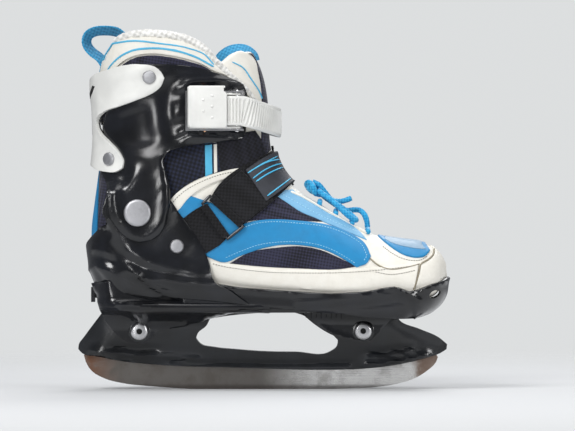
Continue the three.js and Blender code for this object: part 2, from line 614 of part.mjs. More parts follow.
// In plan, from inside the buckle round the front of the shin to the inner side of the cuff.
const atBuckle = (along, out) => {
  const p = new THREE.Vector3(along, -out, 0).applyMatrix4(buckleFrame);
  return [p.x, p.y];
};
const STRAP_OUT = 7.6; // strap's middle above the buckle seat
const innerSide = [[-19, 39.1], [-29, 41.6], [-41, 43.6]];
const STRAP_PATH = [
  atBuckle(-12, STRAP_OUT), atBuckle(5, STRAP_OUT), atBuckle(22, STRAP_OUT),
  atBuckle(31, STRAP_OUT - 0.7), [0.5, -35.5], [7.5, -25], [11.6, -12], [12.8, 0], [11.6, 12],
  [7, 22.5], [0, 30.5], [-9, 35.5], ...innerSide,
];
const STRAP_FALL = 0.3; // the strap dips towards the front of the shin
const STRAP_LEVEL_X = -14;
const STRAP_STEPS = 34;
const STRAP_LIFT = 0.8; // between the strap's inner end and the cuff
const ladderRivet = rivet(
  -31, BUCKLE.z, INNER, CUFF_OUT + STRAP_LIFT + STRAP_THICK + GAP, STRAP_THICK + WALL + 2 * STRAP_LIFT, 4.5);

function makeLadderStrap() {
  const path = new THREE.CatmullRomCurve3(
    STRAP_PATH.map(([x, y]) => new THREE.Vector3(x, y, 0)), false, "centripetal");
  const corners = [[-1, -1], [1, -1], [1, 1], [-1, 1], [-1, -1]];
  const place = (u, v, target) => {
    const step = Math.round(v * (STRAP_STEPS + 2));
    const at = THREE.MathUtils.clamp((step - 1) / STRAP_STEPS, 0, 1);
    const p = path.getPointAt(at);
    const t = path.getTangentAt(at);
    const [out, up] = step === 0 || step === STRAP_STEPS + 2 ? [0, 0] : corners[Math.round(u * 4)];
    const fall = STRAP_FALL * Math.max(0, p.x - STRAP_LEVEL_X);
    const x = p.x + (t.y * out * STRAP_THICK) / 2;
    const y = p.y - (t.x * out * STRAP_THICK) / 2;
    target.set(x, y, BUCKLE.z + (up * STRAP_WIDE) / 2 - fall);
  };
  return cut(solid(new ParametricGeometry(place, 4, STRAP_STEPS + 2)), ladderRivet.hole);
}

sides.forEach(([label, sign]) => {
  add(`cuff_${label}`, makeCuff(sign), BLACK_PLASTIC);
  const at = PLATE_OUT + GAP;
  const pin = turned([[0, 34 - at], [PIVOT_SHANK_R, 34 - at], [PIVOT_SHANK_R, 0], [PIVOT_CAP_R, 0],
    [PIVOT_CAP_R, 1.4], [PIVOT_CAP_R - 0.8, 2.2], [0, 2.2]], 20,
    new THREE.Matrix4().makeTranslation(PIVOT[0], sign * at, PIVOT[1]).multiply(
    new THREE.Matrix4().makeRotationX(sign > 0 ? 0 : Math.PI)));
  add(`pivot_rivet_${label}`, pin, ALUMINIUM);
});
add("back_brace", makeBrace(), WHITE_PLASTIC);
braceRivets.forEach((r) => add(r.name, r.head, ALUMINIUM));
add("ladder_strap", makeLadderStrap(), WHITE_PLASTIC);
add("ladder_rivet", ladderRivet.head, ALUMINIUM);

// The buckle's parts are made in its own frame and turned with it.
const PIN_R = 1.5;
const LEVER_PIN = [22.5, 4.2]; // along the strap, and out from the seat
const PAWL_PIN = [-1.2, 3.6];
const PAWL_PIN_R = 1.2;
const LEVER = { back: -14.6, front: 14.4, high: 18.5, inner: 9.1, outer: 11.6, side: 5.8, wall: 1.6 };

const buckle = new THREE.Group();
buckle.applyMatrix4(buckleFrame);
skate.add(buckle);

function upBar([along, out], radius, low, high, facets = 12) {
  const geometry = new THREE.CylinderGeometry(radius, radius, high - low, facets);
  return solid(geometry.rotateX(Math.PI / 2).translate(along, -out, (low + high) / 2));
}

function makeBuckleBase() {
  const { back, front, low, high, wall, ears } = BASE;
  const floor = block(back, front, -GAP - wall, -GAP, low, high);
  const ear = (z) => union(
    block(LEVER_PIN[0] - 4, front, -ears, -GAP, z, z + wall),
    block(PAWL_PIN[0] - 3.5, PAWL_PIN[0] + 3.5, -ears + 2, -GAP, z, z + wall),
  );
  return cut(union(floor, ear(low), ear(high - wall)),
    upBar(LEVER_PIN, PIN_R + GAP, low - 5, high + 5), upBar(PAWL_PIN, PAWL_PIN_R + GAP, low - 5, high + 5));
}

function makeLever() {
  const { back, front, high, inner, outer, wall, side } = LEVER;
  const low = BASE.low + BASE.wall + GAP;
  const top = BASE.high - BASE.wall - GAP;
  const [pinAlong, pinOut] = LEVER_PIN;
  const arm = (z) => union(
    block(front - 3, pinAlong, -pinOut - 2.6, -pinOut + 1.6, z, z + wall),
    block(front - 3, front, -outer, -pinOut, z, z + wall),
    upBar(LEVER_PIN, 2.6, z, z + wall),
  );
  const body = union(
    block(back, front, -outer, -inner, low, high),
    block(back, front, -outer, -side, high - wall, high),
    block(back, front, -outer, -side, low, low + wall),
    block(back, front, -outer, -side, top - wall, top),
    arm(low), arm(top - wall),
  );
  return cut(body, upBar(LEVER_PIN, PIN_R + GAP, low - 9, high + 5));
}

function makePawl() {
  const half = 8.5;
  const plate = block(-9, 3, -PAWL_PIN[1] - 0.7, -PAWL_PIN[1] + 0.7, -half, half);
  const tooth = block(-9, -7.4, -5.6, -PAWL_PIN[1], -half, half);
  return cut(union(plate, tooth, upBar(PAWL_PIN, 2.1, -half, half)),
    upBar(PAWL_PIN, PAWL_PIN_R + GAP, -20, 20));
}

function makeSpring() {
  const [low, high] = [9.2, 12.2];
  return cut(upBar(PAWL_PIN, 1.9, low, high), upBar(PAWL_PIN, PAWL_PIN_R + GAP, -20, 20));
}
add("buckle_base", makeBuckleBase(), STEEL, buckle);
add("lever_pin", upBar(LEVER_PIN, PIN_R, BASE.low - 0.8, BASE.high + 0.8), STEEL, buckle);
add("pawl_pin", upBar(PAWL_PIN, PAWL_PIN_R, BASE.low - 0.8, BASE.high + 0.8), COPPER, buckle);
add("buckle_lever", makeLever(), WHITE_PLASTIC, buckle);
add("buckle_pawl", makePawl(), WHITE_PLASTIC, buckle);
add("pawl_spring", makeSpring(), STEEL, buckle);

// ---------------------------------------------------------------- instep strap

// Its anchor comes out from under the heel shell's front edge and holds a wire ring; the strap runs
// from the ring over the instep and down to the inner edge of the heel shell.
const alongEdge = (share, gap) => {
  const [, [x0, z0], [x1, z1]] = FRONT_EDGE;
  const long = Math.hypot(x1 - x0, z1 - z0);
  const [across, up] = [(gap * (z0 - z1)) / long, (gap * (x1 - x0)) / long];
  return [x0 + (x1 - x0) * share + across, z0 + (z1 - z0) * share + up];
};
const RING_CORNERS = [[-43.3, 136.9], [-38, 142.5], [-13.5, 120.2], [-24.9, 111.3]];
const RING_LIFT = 3.2; // the ring's wire over the boot, so the webbing ends lie under its bars
const ANCHOR = [
  alongEdge(0.2, 0.6), alongEdge(0.78, 0.6), [-28.6, 108.6], [-24.5, 113.4], [-41.1, 136.6],
  [-47.2, 133.6],
];
const OVER_INSTEP = [[-9.6, 124.2], [30, 159], [15, 181], [-34.4, 146.8]];
const STRAP_BAND = [[-38, 140.3], [-15.7, 120], ...OVER_INSTEP];
const INNER_BAND = [alongEdge(0.1, 0.6), alongEdge(0.75, 0.6), ...OVER_INSTEP];
const PATCH = [[-12.8, 161.3], [2.4, 137.9], [27, 156.4], [12, 178]];

function onBoot(low, high, outline, from, to) {
  const layer = cut(form(high, { halves: BOOT_HALF }), form(low, { halves: BOOT_HALF }));
  return common(layer, slab(outline, from, to));
}
const WEB_IN = LINER_GAP;
const WEB_OUT = WEB_IN + WEB_THICK;
add("strap_anchor", onBoot(WEB_IN, WEB_OUT, ANCHOR, -70, 0), BLACK_WEB);
add("instep_strap", union(
  onBoot(WEB_IN, WEB_OUT, STRAP_BAND, -70, 0.01), onBoot(WEB_IN, WEB_OUT, INNER_BAND, 0, 70)), BLACK_WEB);
add("strap_patch", onBoot(WEB_OUT + GAP, WEB_OUT + GAP + 1.2, PATCH, -70, 8), RUBBER);

function makeRing() {
  const corners = RING_CORNERS.map(([x, z]) => seat(x, z, OUTER, RING_LIFT).p);
  const pieces = corners.map((a, i) => {
    const b = corners[(i + 1) % corners.length];
    const rod = new THREE.CylinderGeometry(RING_WIRE_R, RING_WIRE_R, a.distanceTo(b), 8);
    const turn = new THREE.Quaternion().setFromUnitVectors(
      new THREE.Vector3(0, 1, 0), b.clone().sub(a).normalize());
    rod.applyMatrix4(new THREE.Matrix4().compose(
      a.clone().lerp(b, 0.5), turn, new THREE.Vector3(1, 1, 1)));
    const knuckle = new THREE.SphereGeometry(RING_WIRE_R * 1.03, 6, 4).translate(a.x, a.y, a.z);
    return union(solid(rod), solid(knuckle));
  });
  return union(...pieces);
}
add("strap_ring", makeRing(), STEEL);

// ---------------------------------------------------------------- pull loops

const HEEL_LOOP = [
  [-118.6, 235], [-122, 241], [-127.3, 246], [-131.6, 252.3], [-132.8, 258.3], [-130.2, 264.2],
  [-123.6, 267.6], [-114.7, 268.2], [-106.6, 267], [-101.5, 263.4],
];
const TONGUE_LOOP = [
  [-2.9, 243.4], [-4.4, 248], [-9, 252.4], [-15.5, 254.4], [-24, 253.2], [-31, 248.8], [-35.5, 242.8],
];
add("heel_loop", slab(strip(HEEL_LOOP, 1.3), -7, 7), BLUE_WEB);
add("tongue_loop", slab(strip(TONGUE_LOOP, 1.3), -6, 6), BLUE_WEB);

// ---------------------------------------------------------------- laces

const KNOT = { x: 35.5, y: 0, z: 146.9, radii: [6.4, 7.6, 4], slope: 31 };
const LACES = {
  lace_bow: [
    [42, -4.5, 146.6], [46, -8.5, 143.5], [51.5, -12.5, 139.6], [58, -16, 133.6], [64, -18, 128],
    [68.3, -16.8, 125.2], [69.3, -13.4, 125.4], [66.5, -11.2, 128.2], [61, -9.8, 132.6], [55, -9.4, 137],
  ],
  lace_arch: [
    [41.5, 5, 146.6], [46, 8.5, 142.6], [52, 10.5, 138.2], [58, 11, 134.2], [63, 10.5, 132.2],
    [68, 9, 132.6], [72.5, 7, 132.2], [75.8, 5.6, 129.2], [77.6, 4.8, 124.4], [78.2, 4.4, 119.6],
  ],
  lace_end: [
    [37.5, 0.5, 153.2], [42, 1, 151], [46.5, 1.2, 145.6], [51, 0.8, 140.4], [56, -0.4, 138.8],
    [61, -1.6, 139.4], [66, -2.8, 141.2],
  ],
};

function makeKnot() {
  const ball = new THREE.SphereGeometry(1, 12, 8).scale(...KNOT.radii);
  ball.rotateY(THREE.MathUtils.degToRad(KNOT.slope)).translate(KNOT.x, KNOT.y, KNOT.z);
  return solid(ball);
}

function makeLace(points) {
  const path = new THREE.CatmullRomCurve3(
    points.map((p) => new THREE.Vector3(...p)), false, "centripetal");
  const section = new THREE.Shape(arc([0, 0], LACE_R, 0, 360, 8).slice(0, -1).map(
    ([a, b]) => new THREE.Vector2(a, b)));
  const steps = Math.round(path.getLength() / (2 * LACE_R * 1.2));
  return solid(new THREE.ExtrudeGeometry(section, { steps, extrudePath: path, bevelEnabled: false }));
}
add("lace_knot", makeKnot(), LACE_BLUE);
Object.entries(LACES).forEach(([name, points]) => add(name, makeLace(points), LACE_BLUE));

export default skate;
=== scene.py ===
# Ice skate: the looks. Lengths are in millimetres until a piece is finished, then in metres.
# X runs from heel to toe, Z up, and -Y is the outer side of the foot, where the buckle is.
import math
import random

import bmesh
import bpy
import numpy as np
from mathutils import Matrix, Vector


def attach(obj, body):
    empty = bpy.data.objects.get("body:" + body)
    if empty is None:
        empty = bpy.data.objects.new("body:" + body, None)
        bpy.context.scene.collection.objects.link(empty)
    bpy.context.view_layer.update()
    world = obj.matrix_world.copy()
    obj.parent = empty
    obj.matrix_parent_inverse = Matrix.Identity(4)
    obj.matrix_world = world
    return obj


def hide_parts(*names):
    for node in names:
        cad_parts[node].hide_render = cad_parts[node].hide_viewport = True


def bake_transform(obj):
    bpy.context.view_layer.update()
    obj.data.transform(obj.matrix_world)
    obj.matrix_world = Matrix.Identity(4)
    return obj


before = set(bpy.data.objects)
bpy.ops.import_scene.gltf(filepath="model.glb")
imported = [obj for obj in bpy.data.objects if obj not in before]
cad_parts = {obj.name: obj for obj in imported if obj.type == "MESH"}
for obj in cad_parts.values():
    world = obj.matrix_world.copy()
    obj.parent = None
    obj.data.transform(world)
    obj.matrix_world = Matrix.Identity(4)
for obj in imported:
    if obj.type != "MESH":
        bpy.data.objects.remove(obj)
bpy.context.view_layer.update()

MM = 0.001
OUTER, INNER = -1, 1

# ------------------------------------------------------------ camera, floor and light

VIEW_X, VIEW_Z, VIEW_WIDE = 18.9, 128.4, 425.5  # middle and width of the framed view
VIEW_FAR = 4.0


def make_camera():
    data = bpy.data.cameras.new("camera")
    data.lens = data.sensor_width * VIEW_FAR / (VIEW_WIDE * MM)
    data.clip_end = 40
    camera = bpy.data.objects.new("camera", data)
    camera.location = (VIEW_X * MM, -VIEW_FAR, VIEW_Z * MM)
    camera.rotation_euler = (math.radians(90), 0, 0)
    bpy.context.scene.collection.objects.link(camera)
    bpy.context.scene.camera = camera


make_camera()

# ------------------------------------------------------------ the foot's form

# Rings from the toe to the top of the shaft: front point, back point (X, Z each) and half width.
RINGS = np.array([
    [136.2, 89.5, 135, 81, 10], [132.5, 97.7, 132, 76, 24], [126.5, 104.3, 127, 69.5, 33],
    [116.9, 108.4, 117, 65, 38], [102.1, 110.3, 100.6, 63.3, 41.5], [87.3, 112.9, 81.4, 63.3, 43],
    [72.5, 119.1, 61.4, 63.3, 43], [57.7, 128, 39.2, 63.3, 42], [42.9, 136.9, 15.5, 63.3, 40.5],
    [29.6, 145, -8.9, 63.3, 39], [19.2, 153.2, -34.8, 63.5, 38], [11.8, 163.5, -62.2, 64, 37.5],
    [7.4, 174.6, -90.3, 65, 37], [6, 182, -108, 68.5, 36.5], [5.4, 189, -118.3, 80, 36],
    [5.2, 196, -123.6, 99.2, 36], [5, 203, -124.5, 117.7, 36], [4.4, 211, -122.3, 137.6, 36],
    [3.3, 219.5, -119.6, 158, 36], [1.5, 228.5, -117.4, 180, 36.5], [-1.5, 238, -117.6, 202, 37],
    [-6, 247, -119.4, 226, 38], [-11, 256, -116.2, 245, 38.5], [-16, 266, -110, 268, 39],
])
LAST = len(RINGS) - 1
TOP_POWER = 2.4
SOLE_POWER = (4, 2.5, 7, 14)  # how square a ring is below its widest place
SHELL_POWER = (7, 2.5, 9, 16)
WAIST = (0.34, 0.5, 5, 12)
TOE_TRAVEL = 20
GIRTH = 40.0  # millimetres round the foot for one radian
BOOT_HALF = RINGS[:, 4]
SHELL_HALF = np.array([
    max([r[4]] + [q[4] for q in RINGS[:i] if q[2] <= r[2] + TOE_TRAVEL * 1.4])
    for i, r in enumerate(RINGS)])


def spline(values, at):
    i = np.clip(np.floor(at).astype(int), 0, LAST - 1)
    w = at - i
    p0, p1 = values[np.maximum(i - 1, 0)], values[i]
    p2, p3 = values[i + 1], values[np.minimum(i + 2, LAST)]
    v0, v1 = (p2 - p0) / 2, (p3 - p1) / 2
    return ((2 * p1 - 2 * p2 + v0 + v1) * w + (-3 * p1 + 3 * p2 - 2 * v0 - v1)) * w * w + v0 * w + p1


def ramp(values, at):
    a, b, start, end = values
    return a + (b - a) * np.clip((at - start) / (end - start), 0, 1)


def form_points(ring, angle, halves, square=SOLE_POWER, drop=0):
    fx, fz, bx, bz = (spline(RINGS[:, k], ring) for k in range(4))
    waist = ramp(WAIST, ring)
    mx, mz = bx + (fx - bx) * waist, bz + (fz - bz) * waist
    up, side = np.cos(angle), np.sin(angle)
    power = np.where(up > 0, TOP_POWER, ramp(square, ring))
    along = np.abs(up) ** (2 / power)
    ex, ez = np.where(up > 0, fx, bx), np.where(up > 0, fz, bz - drop)
    y = np.sign(side) * np.abs(side) ** (2 / power) * spline(halves, ring)
    return np.stack([mx + along * (ex - mx), y, mz + along * (ez - mz)], -1)


class Form:
    """The foot's surface as a fine table: position and outward normal at a ring and an angle."""

    STEP, SIDES = 0.1, 720

    def __init__(self, halves, square=SOLE_POWER, drop=0):
        rings = np.arange(0, LAST + self.STEP / 2, self.STEP)
        angles = np.arange(self.SIDES) / self.SIDES * 2 * math.pi
        u, a = np.meshgrid(rings, angles, indexing="ij")
        self.at = form_points(u, a, halves, square, drop)
        across = np.roll(self.at, -1, 1) - np.roll(self.at, 1, 1)
        along = np.gradient(self.at, axis=0)
        n = np.cross(across, along)
        self.out = n / np.maximum(np.linalg.norm(n, axis=-1, keepdims=True), 1e-9)
        # The normal is smoothed a little so that thick layers keep an even outer face.
        for _ in range(2):
            self.out[1:-1] = (self.out[:-2] + 2 * self.out[1:-1] + self.out[2:]) / 4
            self.out = (np.roll(self.out, 1, 1) + 2 * self.out + np.roll(self.out, -1, 1)) / 4
        self.out /= np.maximum(np.linalg.norm(self.out, axis=-1, keepdims=True), 1e-9)

    def look_up(self, ring, angle):
        r = np.clip(np.asarray(ring, float), 0, LAST) / self.STEP
        t = np.asarray(angle, float) / (2 * math.pi) * self.SIDES
        i = np.clip(np.floor(r).astype(int), 0, len(self.at) - 2)
        j = np.floor(t).astype(int)
        w, v = (r - i)[..., None], (t - j)[..., None]
        j0, j1 = j % self.SIDES, (j + 1) % self.SIDES

        def mix(table):
            return ((table[i, j0] * (1 - v) + table[i, j1] * v) * (1 - w)
                    + (table[i + 1, j0] * (1 - v) + table[i + 1, j1] * v) * w)

        return mix(self.at), mix(self.out)

    def seat(self, x, z, side):
        """The ring and angle seen at a place of the side view; the angle is in -pi to pi."""
        half = self.SIDES // 2
        cols = slice(half, self.SIDES) if side == OUTER else slice(0, half)
        part = self.at[:, cols]
        miss = (part[..., 0] - x) ** 2 + (part[..., 2] - z) ** 2
        i, j = np.unravel_index(np.argmin(miss), miss.shape)
        best = (i * self.STEP, (j + (half if side == OUTER else 0)) / self.SIDES * 2 * math.pi)
        span = self.STEP
        while span > 0.002:
            near = [(best[0] + du * span, best[1] + da * span / 6)
                    for du in (-1, 0, 1) for da in (-1, 0, 1)]
            p, _ = self.look_up([n[0] for n in near], [n[1] for n in near])
            k = int(np.argmin((p[:, 0] - x) ** 2 + (p[:, 2] - z) ** 2))
            if k == 4:
                span *= 0.6
            best = near[k]
        ring, angle = best
        return min(max(ring, 0), LAST), angle - 2 * math.pi if side == OUTER else angle


BOOT = Form(BOOT_HALF)
SHELL = Form(SHELL_HALF, SHELL_POWER)
SKIRT = Form(SHELL_HALF, (9, 9, 0, 1), 15)  # the toe shell hangs below the sole

# Millimetres along the foot at each ring, so that a flat layout has nearly true lengths.
_mid = form_points(np.arange(LAST + 1.0), np.full(LAST + 1, math.pi / 2), BOOT_HALF)
ALONG = np.concatenate([[0], np.cumsum(np.linalg.norm(np.diff(_mid, axis=0), axis=1).clip(6))])


def along_of(ring):
    return float(np.interp(ring, np.arange(LAST + 1), ALONG))


def ring_of(along):
    return np.interp(along, ALONG, np.arange(LAST + 1))

# ------------------------------------------------------------ outlines


def curve(points, closed=True, step=2.0, corner=42):
    """A smooth line through points; a turn sharper than the corner angle stays a corner."""
    pts = [np.array(p, float) for p in points]
    count = len(pts)
    tangents = []
    for i in range(count):
        a, b, c = pts[i - 1], pts[i], pts[(i + 1) % count]
        before, after = b - a, c - b
        if not closed and i in (0, count - 1):
            tangents.append((None, None))
            continue
        la, lb = np.linalg.norm(before), np.linalg.norm(after)
        turn = math.degrees(math.acos(np.clip(before @ after / max(la * lb, 1e-9), -1, 1)))
        if turn > corner:
            tangents.append((None, None))
        else:
            d = before / la * lb + after / lb * la
            d /= np.linalg.norm(d)
            tangents.append((d, d))
    line = []
    for i in range(count if closed else count - 1):
        p, q = pts[i], pts[(i + 1) % count]
        long = np.linalg.norm(q - p)
        tp = tangents[i][1] if tangents[i][1] is not None else (q - p) / long
        tq = tangents[(i + 1) % count][0]
        tq = tq if tq is not None else (q - p) / long
        parts = max(1, round(long / step))
        for k in range(parts):
            w = k / parts
            h1, h2 = 2 * w**3 - 3 * w**2 + 1, w**3 - 2 * w**2 + w
            h3, h4 = -2 * w**3 + 3 * w**2, w**3 - w**2
            line.append(h1 * p + h2 * long * tp + h3 * q + h4 * long * tq)
    if not closed:
        line.append(pts[-1])
    return line


def side_view(drawing):
    """Side-view places measured on a drawing whose unit is 0.74 mm, as X and Z."""
    return [((x - 262) * 0.74, (389 - y) * 0.74) for x, y in drawing]


def laid(points, side, form=BOOT):
    """Side-view places as places on the flat layout: along the foot, and round it from the front."""
    return [(along_of(u), a * GIRTH) for u, a in (form.seat(x, z, side) for x, z in points)]


def mirrored(layout, over_back=False):
    """The layout on the other side: over the front line, or over the back line."""
    turn = -2 * math.pi * GIRTH if over_back else 0
    return [(s, turn - t) for s, t in layout]


def across_back(layout):
    """An outline that runs along the outer side and meets the back line, closed by its mirror."""
    return layout + mirrored(layout, True)[::-1]


def across_front(layout):
    return layout + mirrored(layout)[::-1]

# ------------------------------------------------------------ making pieces


def material_on(obj, material):
    obj.data.materials.clear()
    obj.data.materials.append(material)


def smooth(mesh, degrees=38):
    mesh.shade_smooth()
    if degrees:
        mesh.set_sharp_from_angle(angle=math.radians(degrees))


def piece(name, mesh_or_bm, material, body, replaces=(), blend=None, angle=38, fix=True):
    """Finishes a piece: metres, faces outwards, smooth shading, material, and its body."""
    if isinstance(mesh_or_bm, bmesh.types.BMesh):
        bm = mesh_or_bm
        if fix:
            bmesh.ops.remove_doubles(bm, verts=bm.verts, dist=0.002)
            bmesh.ops.recalc_face_normals(bm, faces=bm.faces)
        bmesh.ops.scale(bm, vec=(MM, MM, MM), verts=bm.verts)
        mesh = bpy.data.meshes.new(name)
        bm.to_mesh(mesh)
        bm.free()
    else:
        mesh = mesh_or_bm
    smooth(mesh, angle)
    obj = bpy.data.objects.new(name, mesh)
    bpy.context.scene.collection.objects.link(obj)
    material_on(obj, material)
    if blend:
        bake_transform(obj)
    else:
        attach(obj, body)
    if replaces:
        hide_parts(*replaces)
    return obj


def flat_slab(outline, low, high, edge=0.5, segments=2, grid=3.0, under_edge=0.0):
    """A closed slab over an outline, its upper rim rounded, cut along a grid so it can be bent."""
    bm = bmesh.new()
    base = bm.faces.new([bm.verts.new((s, t, low)) for s, t in outline])
    base.normal_update()
    if base.normal.z > 0:
        base.normal_flip()
    top = bmesh.ops.extrude_face_region(bm, geom=[base], use_keep_orig=True)["geom"]
    moved = [v for v in top if isinstance(v, bmesh.types.BMVert)]
    bmesh.ops.translate(bm, vec=(0, 0, high - low), verts=moved)
    bmesh.ops.recalc_face_normals(bm, faces=bm.faces)
    for level, width in ((high, edge), (low, under_edge)):
        if width > 0:
            rim = [e for e in bm.edges if all(abs(v.co.z - level) < 1e-6 for v in e.verts)]
            bmesh.ops.bevel(bm, geom=rim, offset=width, segments=segments, profile=0.5,
                            affect="EDGES", clamp_overlap=True, material=-1)
    if grid:
        for axis in (0, 1):
            values = [v.co[axis] for v in bm.verts]
            cuts = np.arange(math.floor(min(values) / grid) * grid + grid / 2, max(values), grid)
            normal = Vector((1, 0, 0)) if axis == 0 else Vector((0, 1, 0))
            for c in cuts:
                bmesh.ops.bisect_plane(bm, geom=bm.verts[:] + bm.edges[:] + bm.faces[:],
                                       dist=1e-5, plane_co=normal * c, plane_no=normal)
    return bm


def bend(bm, form=BOOT, relief=None, top=None, after=None):
    """Lays a flat slab on the form. Relief adds height to what lies at the top level."""
    co = np.array([v.co for v in bm.verts], float)
    p, n = form.look_up(ring_of(co[:, 0]), co[:, 1] / GIRTH)
    height = co[:, 2].copy()
    if relief is not None:
        base = p + n * height[:, None]
        share = np.clip((height - (top - 0.9)) / 0.9, 0, 1)
        height += relief(base[:, 0], base[:, 2], base[:, 1], co) * share
    q = p + n * height[:, None]
    if after is not None:
        q = after(q, height)
    for v, c in zip(bm.verts, q):
        v.co = c
    return bm


def wrapped(outline, low, high, form=BOOT, relief=None, edge=0.5, grid=3.0, after=None,
            segments=2, under_edge=0.0):
    return bend(flat_slab(outline, low, high, edge, segments, grid, under_edge), form, relief,
                high, after)


def join(*bms):
    """Several bmeshes as one."""
    out = bmesh.new()
    for bm in bms:
        mesh = bpy.data.meshes.new("part")
        bm.to_mesh(mesh)
        bm.free()
        out.from_mesh(mesh)
        bpy.data.meshes.remove(mesh)
    return out


def soften(bm, times=2, crease=32):
    """Evens out a surface's small steps, and leaves its rims as they are."""
    bm.normal_update()
    rims = {v for e in bm.edges if len(e.link_faces) != 2
            or e.calc_face_angle(0) > math.radians(crease) for v in e.verts}
    free = [v for v in bm.verts if v not in rims]
    for _ in range(times):
        bmesh.ops.smooth_vert(bm, verts=free, factor=0.5, use_axis_x=True, use_axis_y=True,
                              use_axis_z=True)
    return bm

# ------------------------------------------------------------ relief


def away(x, z, line, closed=False):
    """Distance from places to a line of points, in the side view."""
    pts = np.array(line, float)
    if closed:
        pts = np.vstack([pts, pts[:1]])
    best = np.full(x.shape, 1e9)
    for (ax, az), (bx, bz) in zip(pts[:-1], pts[1:]):
        dx, dz = bx - ax, bz - az
        w = np.clip(((x - ax) * dx + (z - az) * dz) / max(dx * dx + dz * dz, 1e-9), 0, 1)
        best = np.minimum(best, np.hypot(x - ax - w * dx, z - az - w * dz))
    return best


def within(x, z, outline):
    pts = np.array(outline, float)
    inside = np.zeros(x.shape, bool)
    for (ax, az), (bx, bz) in zip(pts, np.roll(pts, -1, 0)):
        crosses = (az > z) != (bz > z)
        at = ax + (z - az) * (bx - ax) / np.where(bz == az, 1e-9, bz - az)
        inside ^= crosses & (x < at)
    return inside


def step_up(d, width):
    w = np.clip(d / width, 0, 1)
    return w * w * (3 - 2 * w)


def ridge(x, z, line, width, height, closed=False):
    return height * (1 - step_up(away(x, z, line, closed), width))


def field(x, z, outline, height, edge):
    """A raised or sunk area with a soft edge inside its outline."""
    d = away(x, z, outline, True)
    return height * step_up(d, edge) * within(x, z, outline)

# ------------------------------------------------------------ materials


class Value:
    """A shader socket that can be used in sums."""

    def __init__(self, made, socket):
        self.made, self.socket = made, socket

    def _with(self, operation, a, b=None, c=None):
        return self.made.node("ShaderNodeMath", {"operation": operation}, a, b, c)

    def __add__(self, other):
        return self._with("ADD", self, other)

    __radd__ = __add__

    def __mul__(self, other):
        return self._with("MULTIPLY", self, other)

    __rmul__ = __mul__

    def __sub__(self, other):
        return self._with("SUBTRACT", self, other)

    def __rsub__(self, other):
        return self._with("SUBTRACT", other, self)

    def __pow__(self, other):
        return self._with("POWER", self, other)

    def above(self, edge):
        return self._with("GREATER_THAN", self, edge)

    def ramp(self, low, high):
        """0 below low, 1 above high, smooth between."""
        return self.made.node(
            "ShaderNodeMapRange", {"interpolation_type": "SMOOTHSTEP"}, self, low, high, 0.0, 1.0)


class Made:
    """A material being made from nodes."""

    def __init__(self, name):
        self.material = bpy.data.materials.new(name)
        self.material.use_nodes = True
        self.tree = self.material.node_tree
        self.shader = self.tree.nodes["Principled BSDF"]
        coords = self.tree.nodes.new("ShaderNodeTexCoord")
        self.place = Value(self, coords.outputs["Object"])

    def link(self, value, socket):
        if isinstance(value, Value):
            self.tree.links.new(value.socket, socket)
        elif value is not None:
            if isinstance(value, (tuple, list)) and len(value) == 3 and socket.type == "RGBA":
                value = (*value, 1)
            socket.default_value = value

    def node(self, kind, settings=None, *values, out=0, **named):
        made = self.tree.nodes.new(kind)
        for key, value in (settings or {}).items():
            if key == "stops":
                ramp = made.color_ramp
                while len(ramp.elements) < len(value):
                    ramp.elements.new(0.5)
                for element, (at, colour) in zip(ramp.elements, value):
                    element.position, element.color = at, (*colour, 1)
            else:
                setattr(made, key, value)
        sockets = [s for s in made.inputs if s.enabled]
        for socket, value in zip(sockets, values):
            self.link(value, socket)
        for key, value in named.items():
            self.link(value, next(s for s in made.inputs if s.enabled and s.name == key))
        shown = [s for s in made.outputs if s.enabled]
        return Value(self, shown[out])

    def scaled(self, *scale):
        return self.node("ShaderNodeMapping", {}, Location=(0, 0, 0), Vector=self.place,
                         Scale=scale if len(scale) == 3 else scale * 3)

    def noise(self, scale, detail=3.0, rough=0.55, vector=None):
        return self.node("ShaderNodeTexNoise", {}, Vector=vector or self.place, Scale=scale,
                         Detail=detail, Roughness=rough)

    def cells(self, scale, feature="F1", vector=None):
        return self.node("ShaderNodeTexVoronoi", {"feature": feature}, Vector=vector or self.place,
                         Scale=scale)

    def bands(self, axis, scale, vector=None):
        return self.node("ShaderNodeTexWave", {"bands_direction": axis, "wave_profile": "SIN"},
                         Vector=vector or self.place, Scale=scale, Distortion=0.0)

    def mix(self, factor, a, b):
        return self.node("ShaderNodeMix", {"data_type": "RGBA"}, factor, a, b)

    def axis(self, which):
        made = self.tree.nodes.new("ShaderNodeSeparateXYZ")
        self.tree.links.new(self.place.socket, made.inputs[0])
        return Value(self, made.outputs["XYZ".index(which)])

    def bump(self, height, strength, distance=0.001, under=None):
        return self.node("ShaderNodeBump", {}, Strength=strength, Distance=distance,
                         Height=height, Normal=under)

    def finish(self, colour, rough, normal=None, **constants):
        s = self.shader.inputs
        self.link(colour, s["Base Color"])
        self.link(rough, s["Roughness"])
        if normal is not None:
            self.link(normal, s["Normal"])
        for key, value in constants.items():
            self.link(value, s[key.replace("_", " ")])
        return self.material


def srgb(text):
    """A colour from its usual hexadecimal form."""
    parts = [int(text[i:i + 2], 16) / 255 for i in (0, 2, 4)]
    return tuple(c / 12.92 if c <= 0.04045 else ((c + 0.055) / 1.055) ** 2.4 for c in parts)


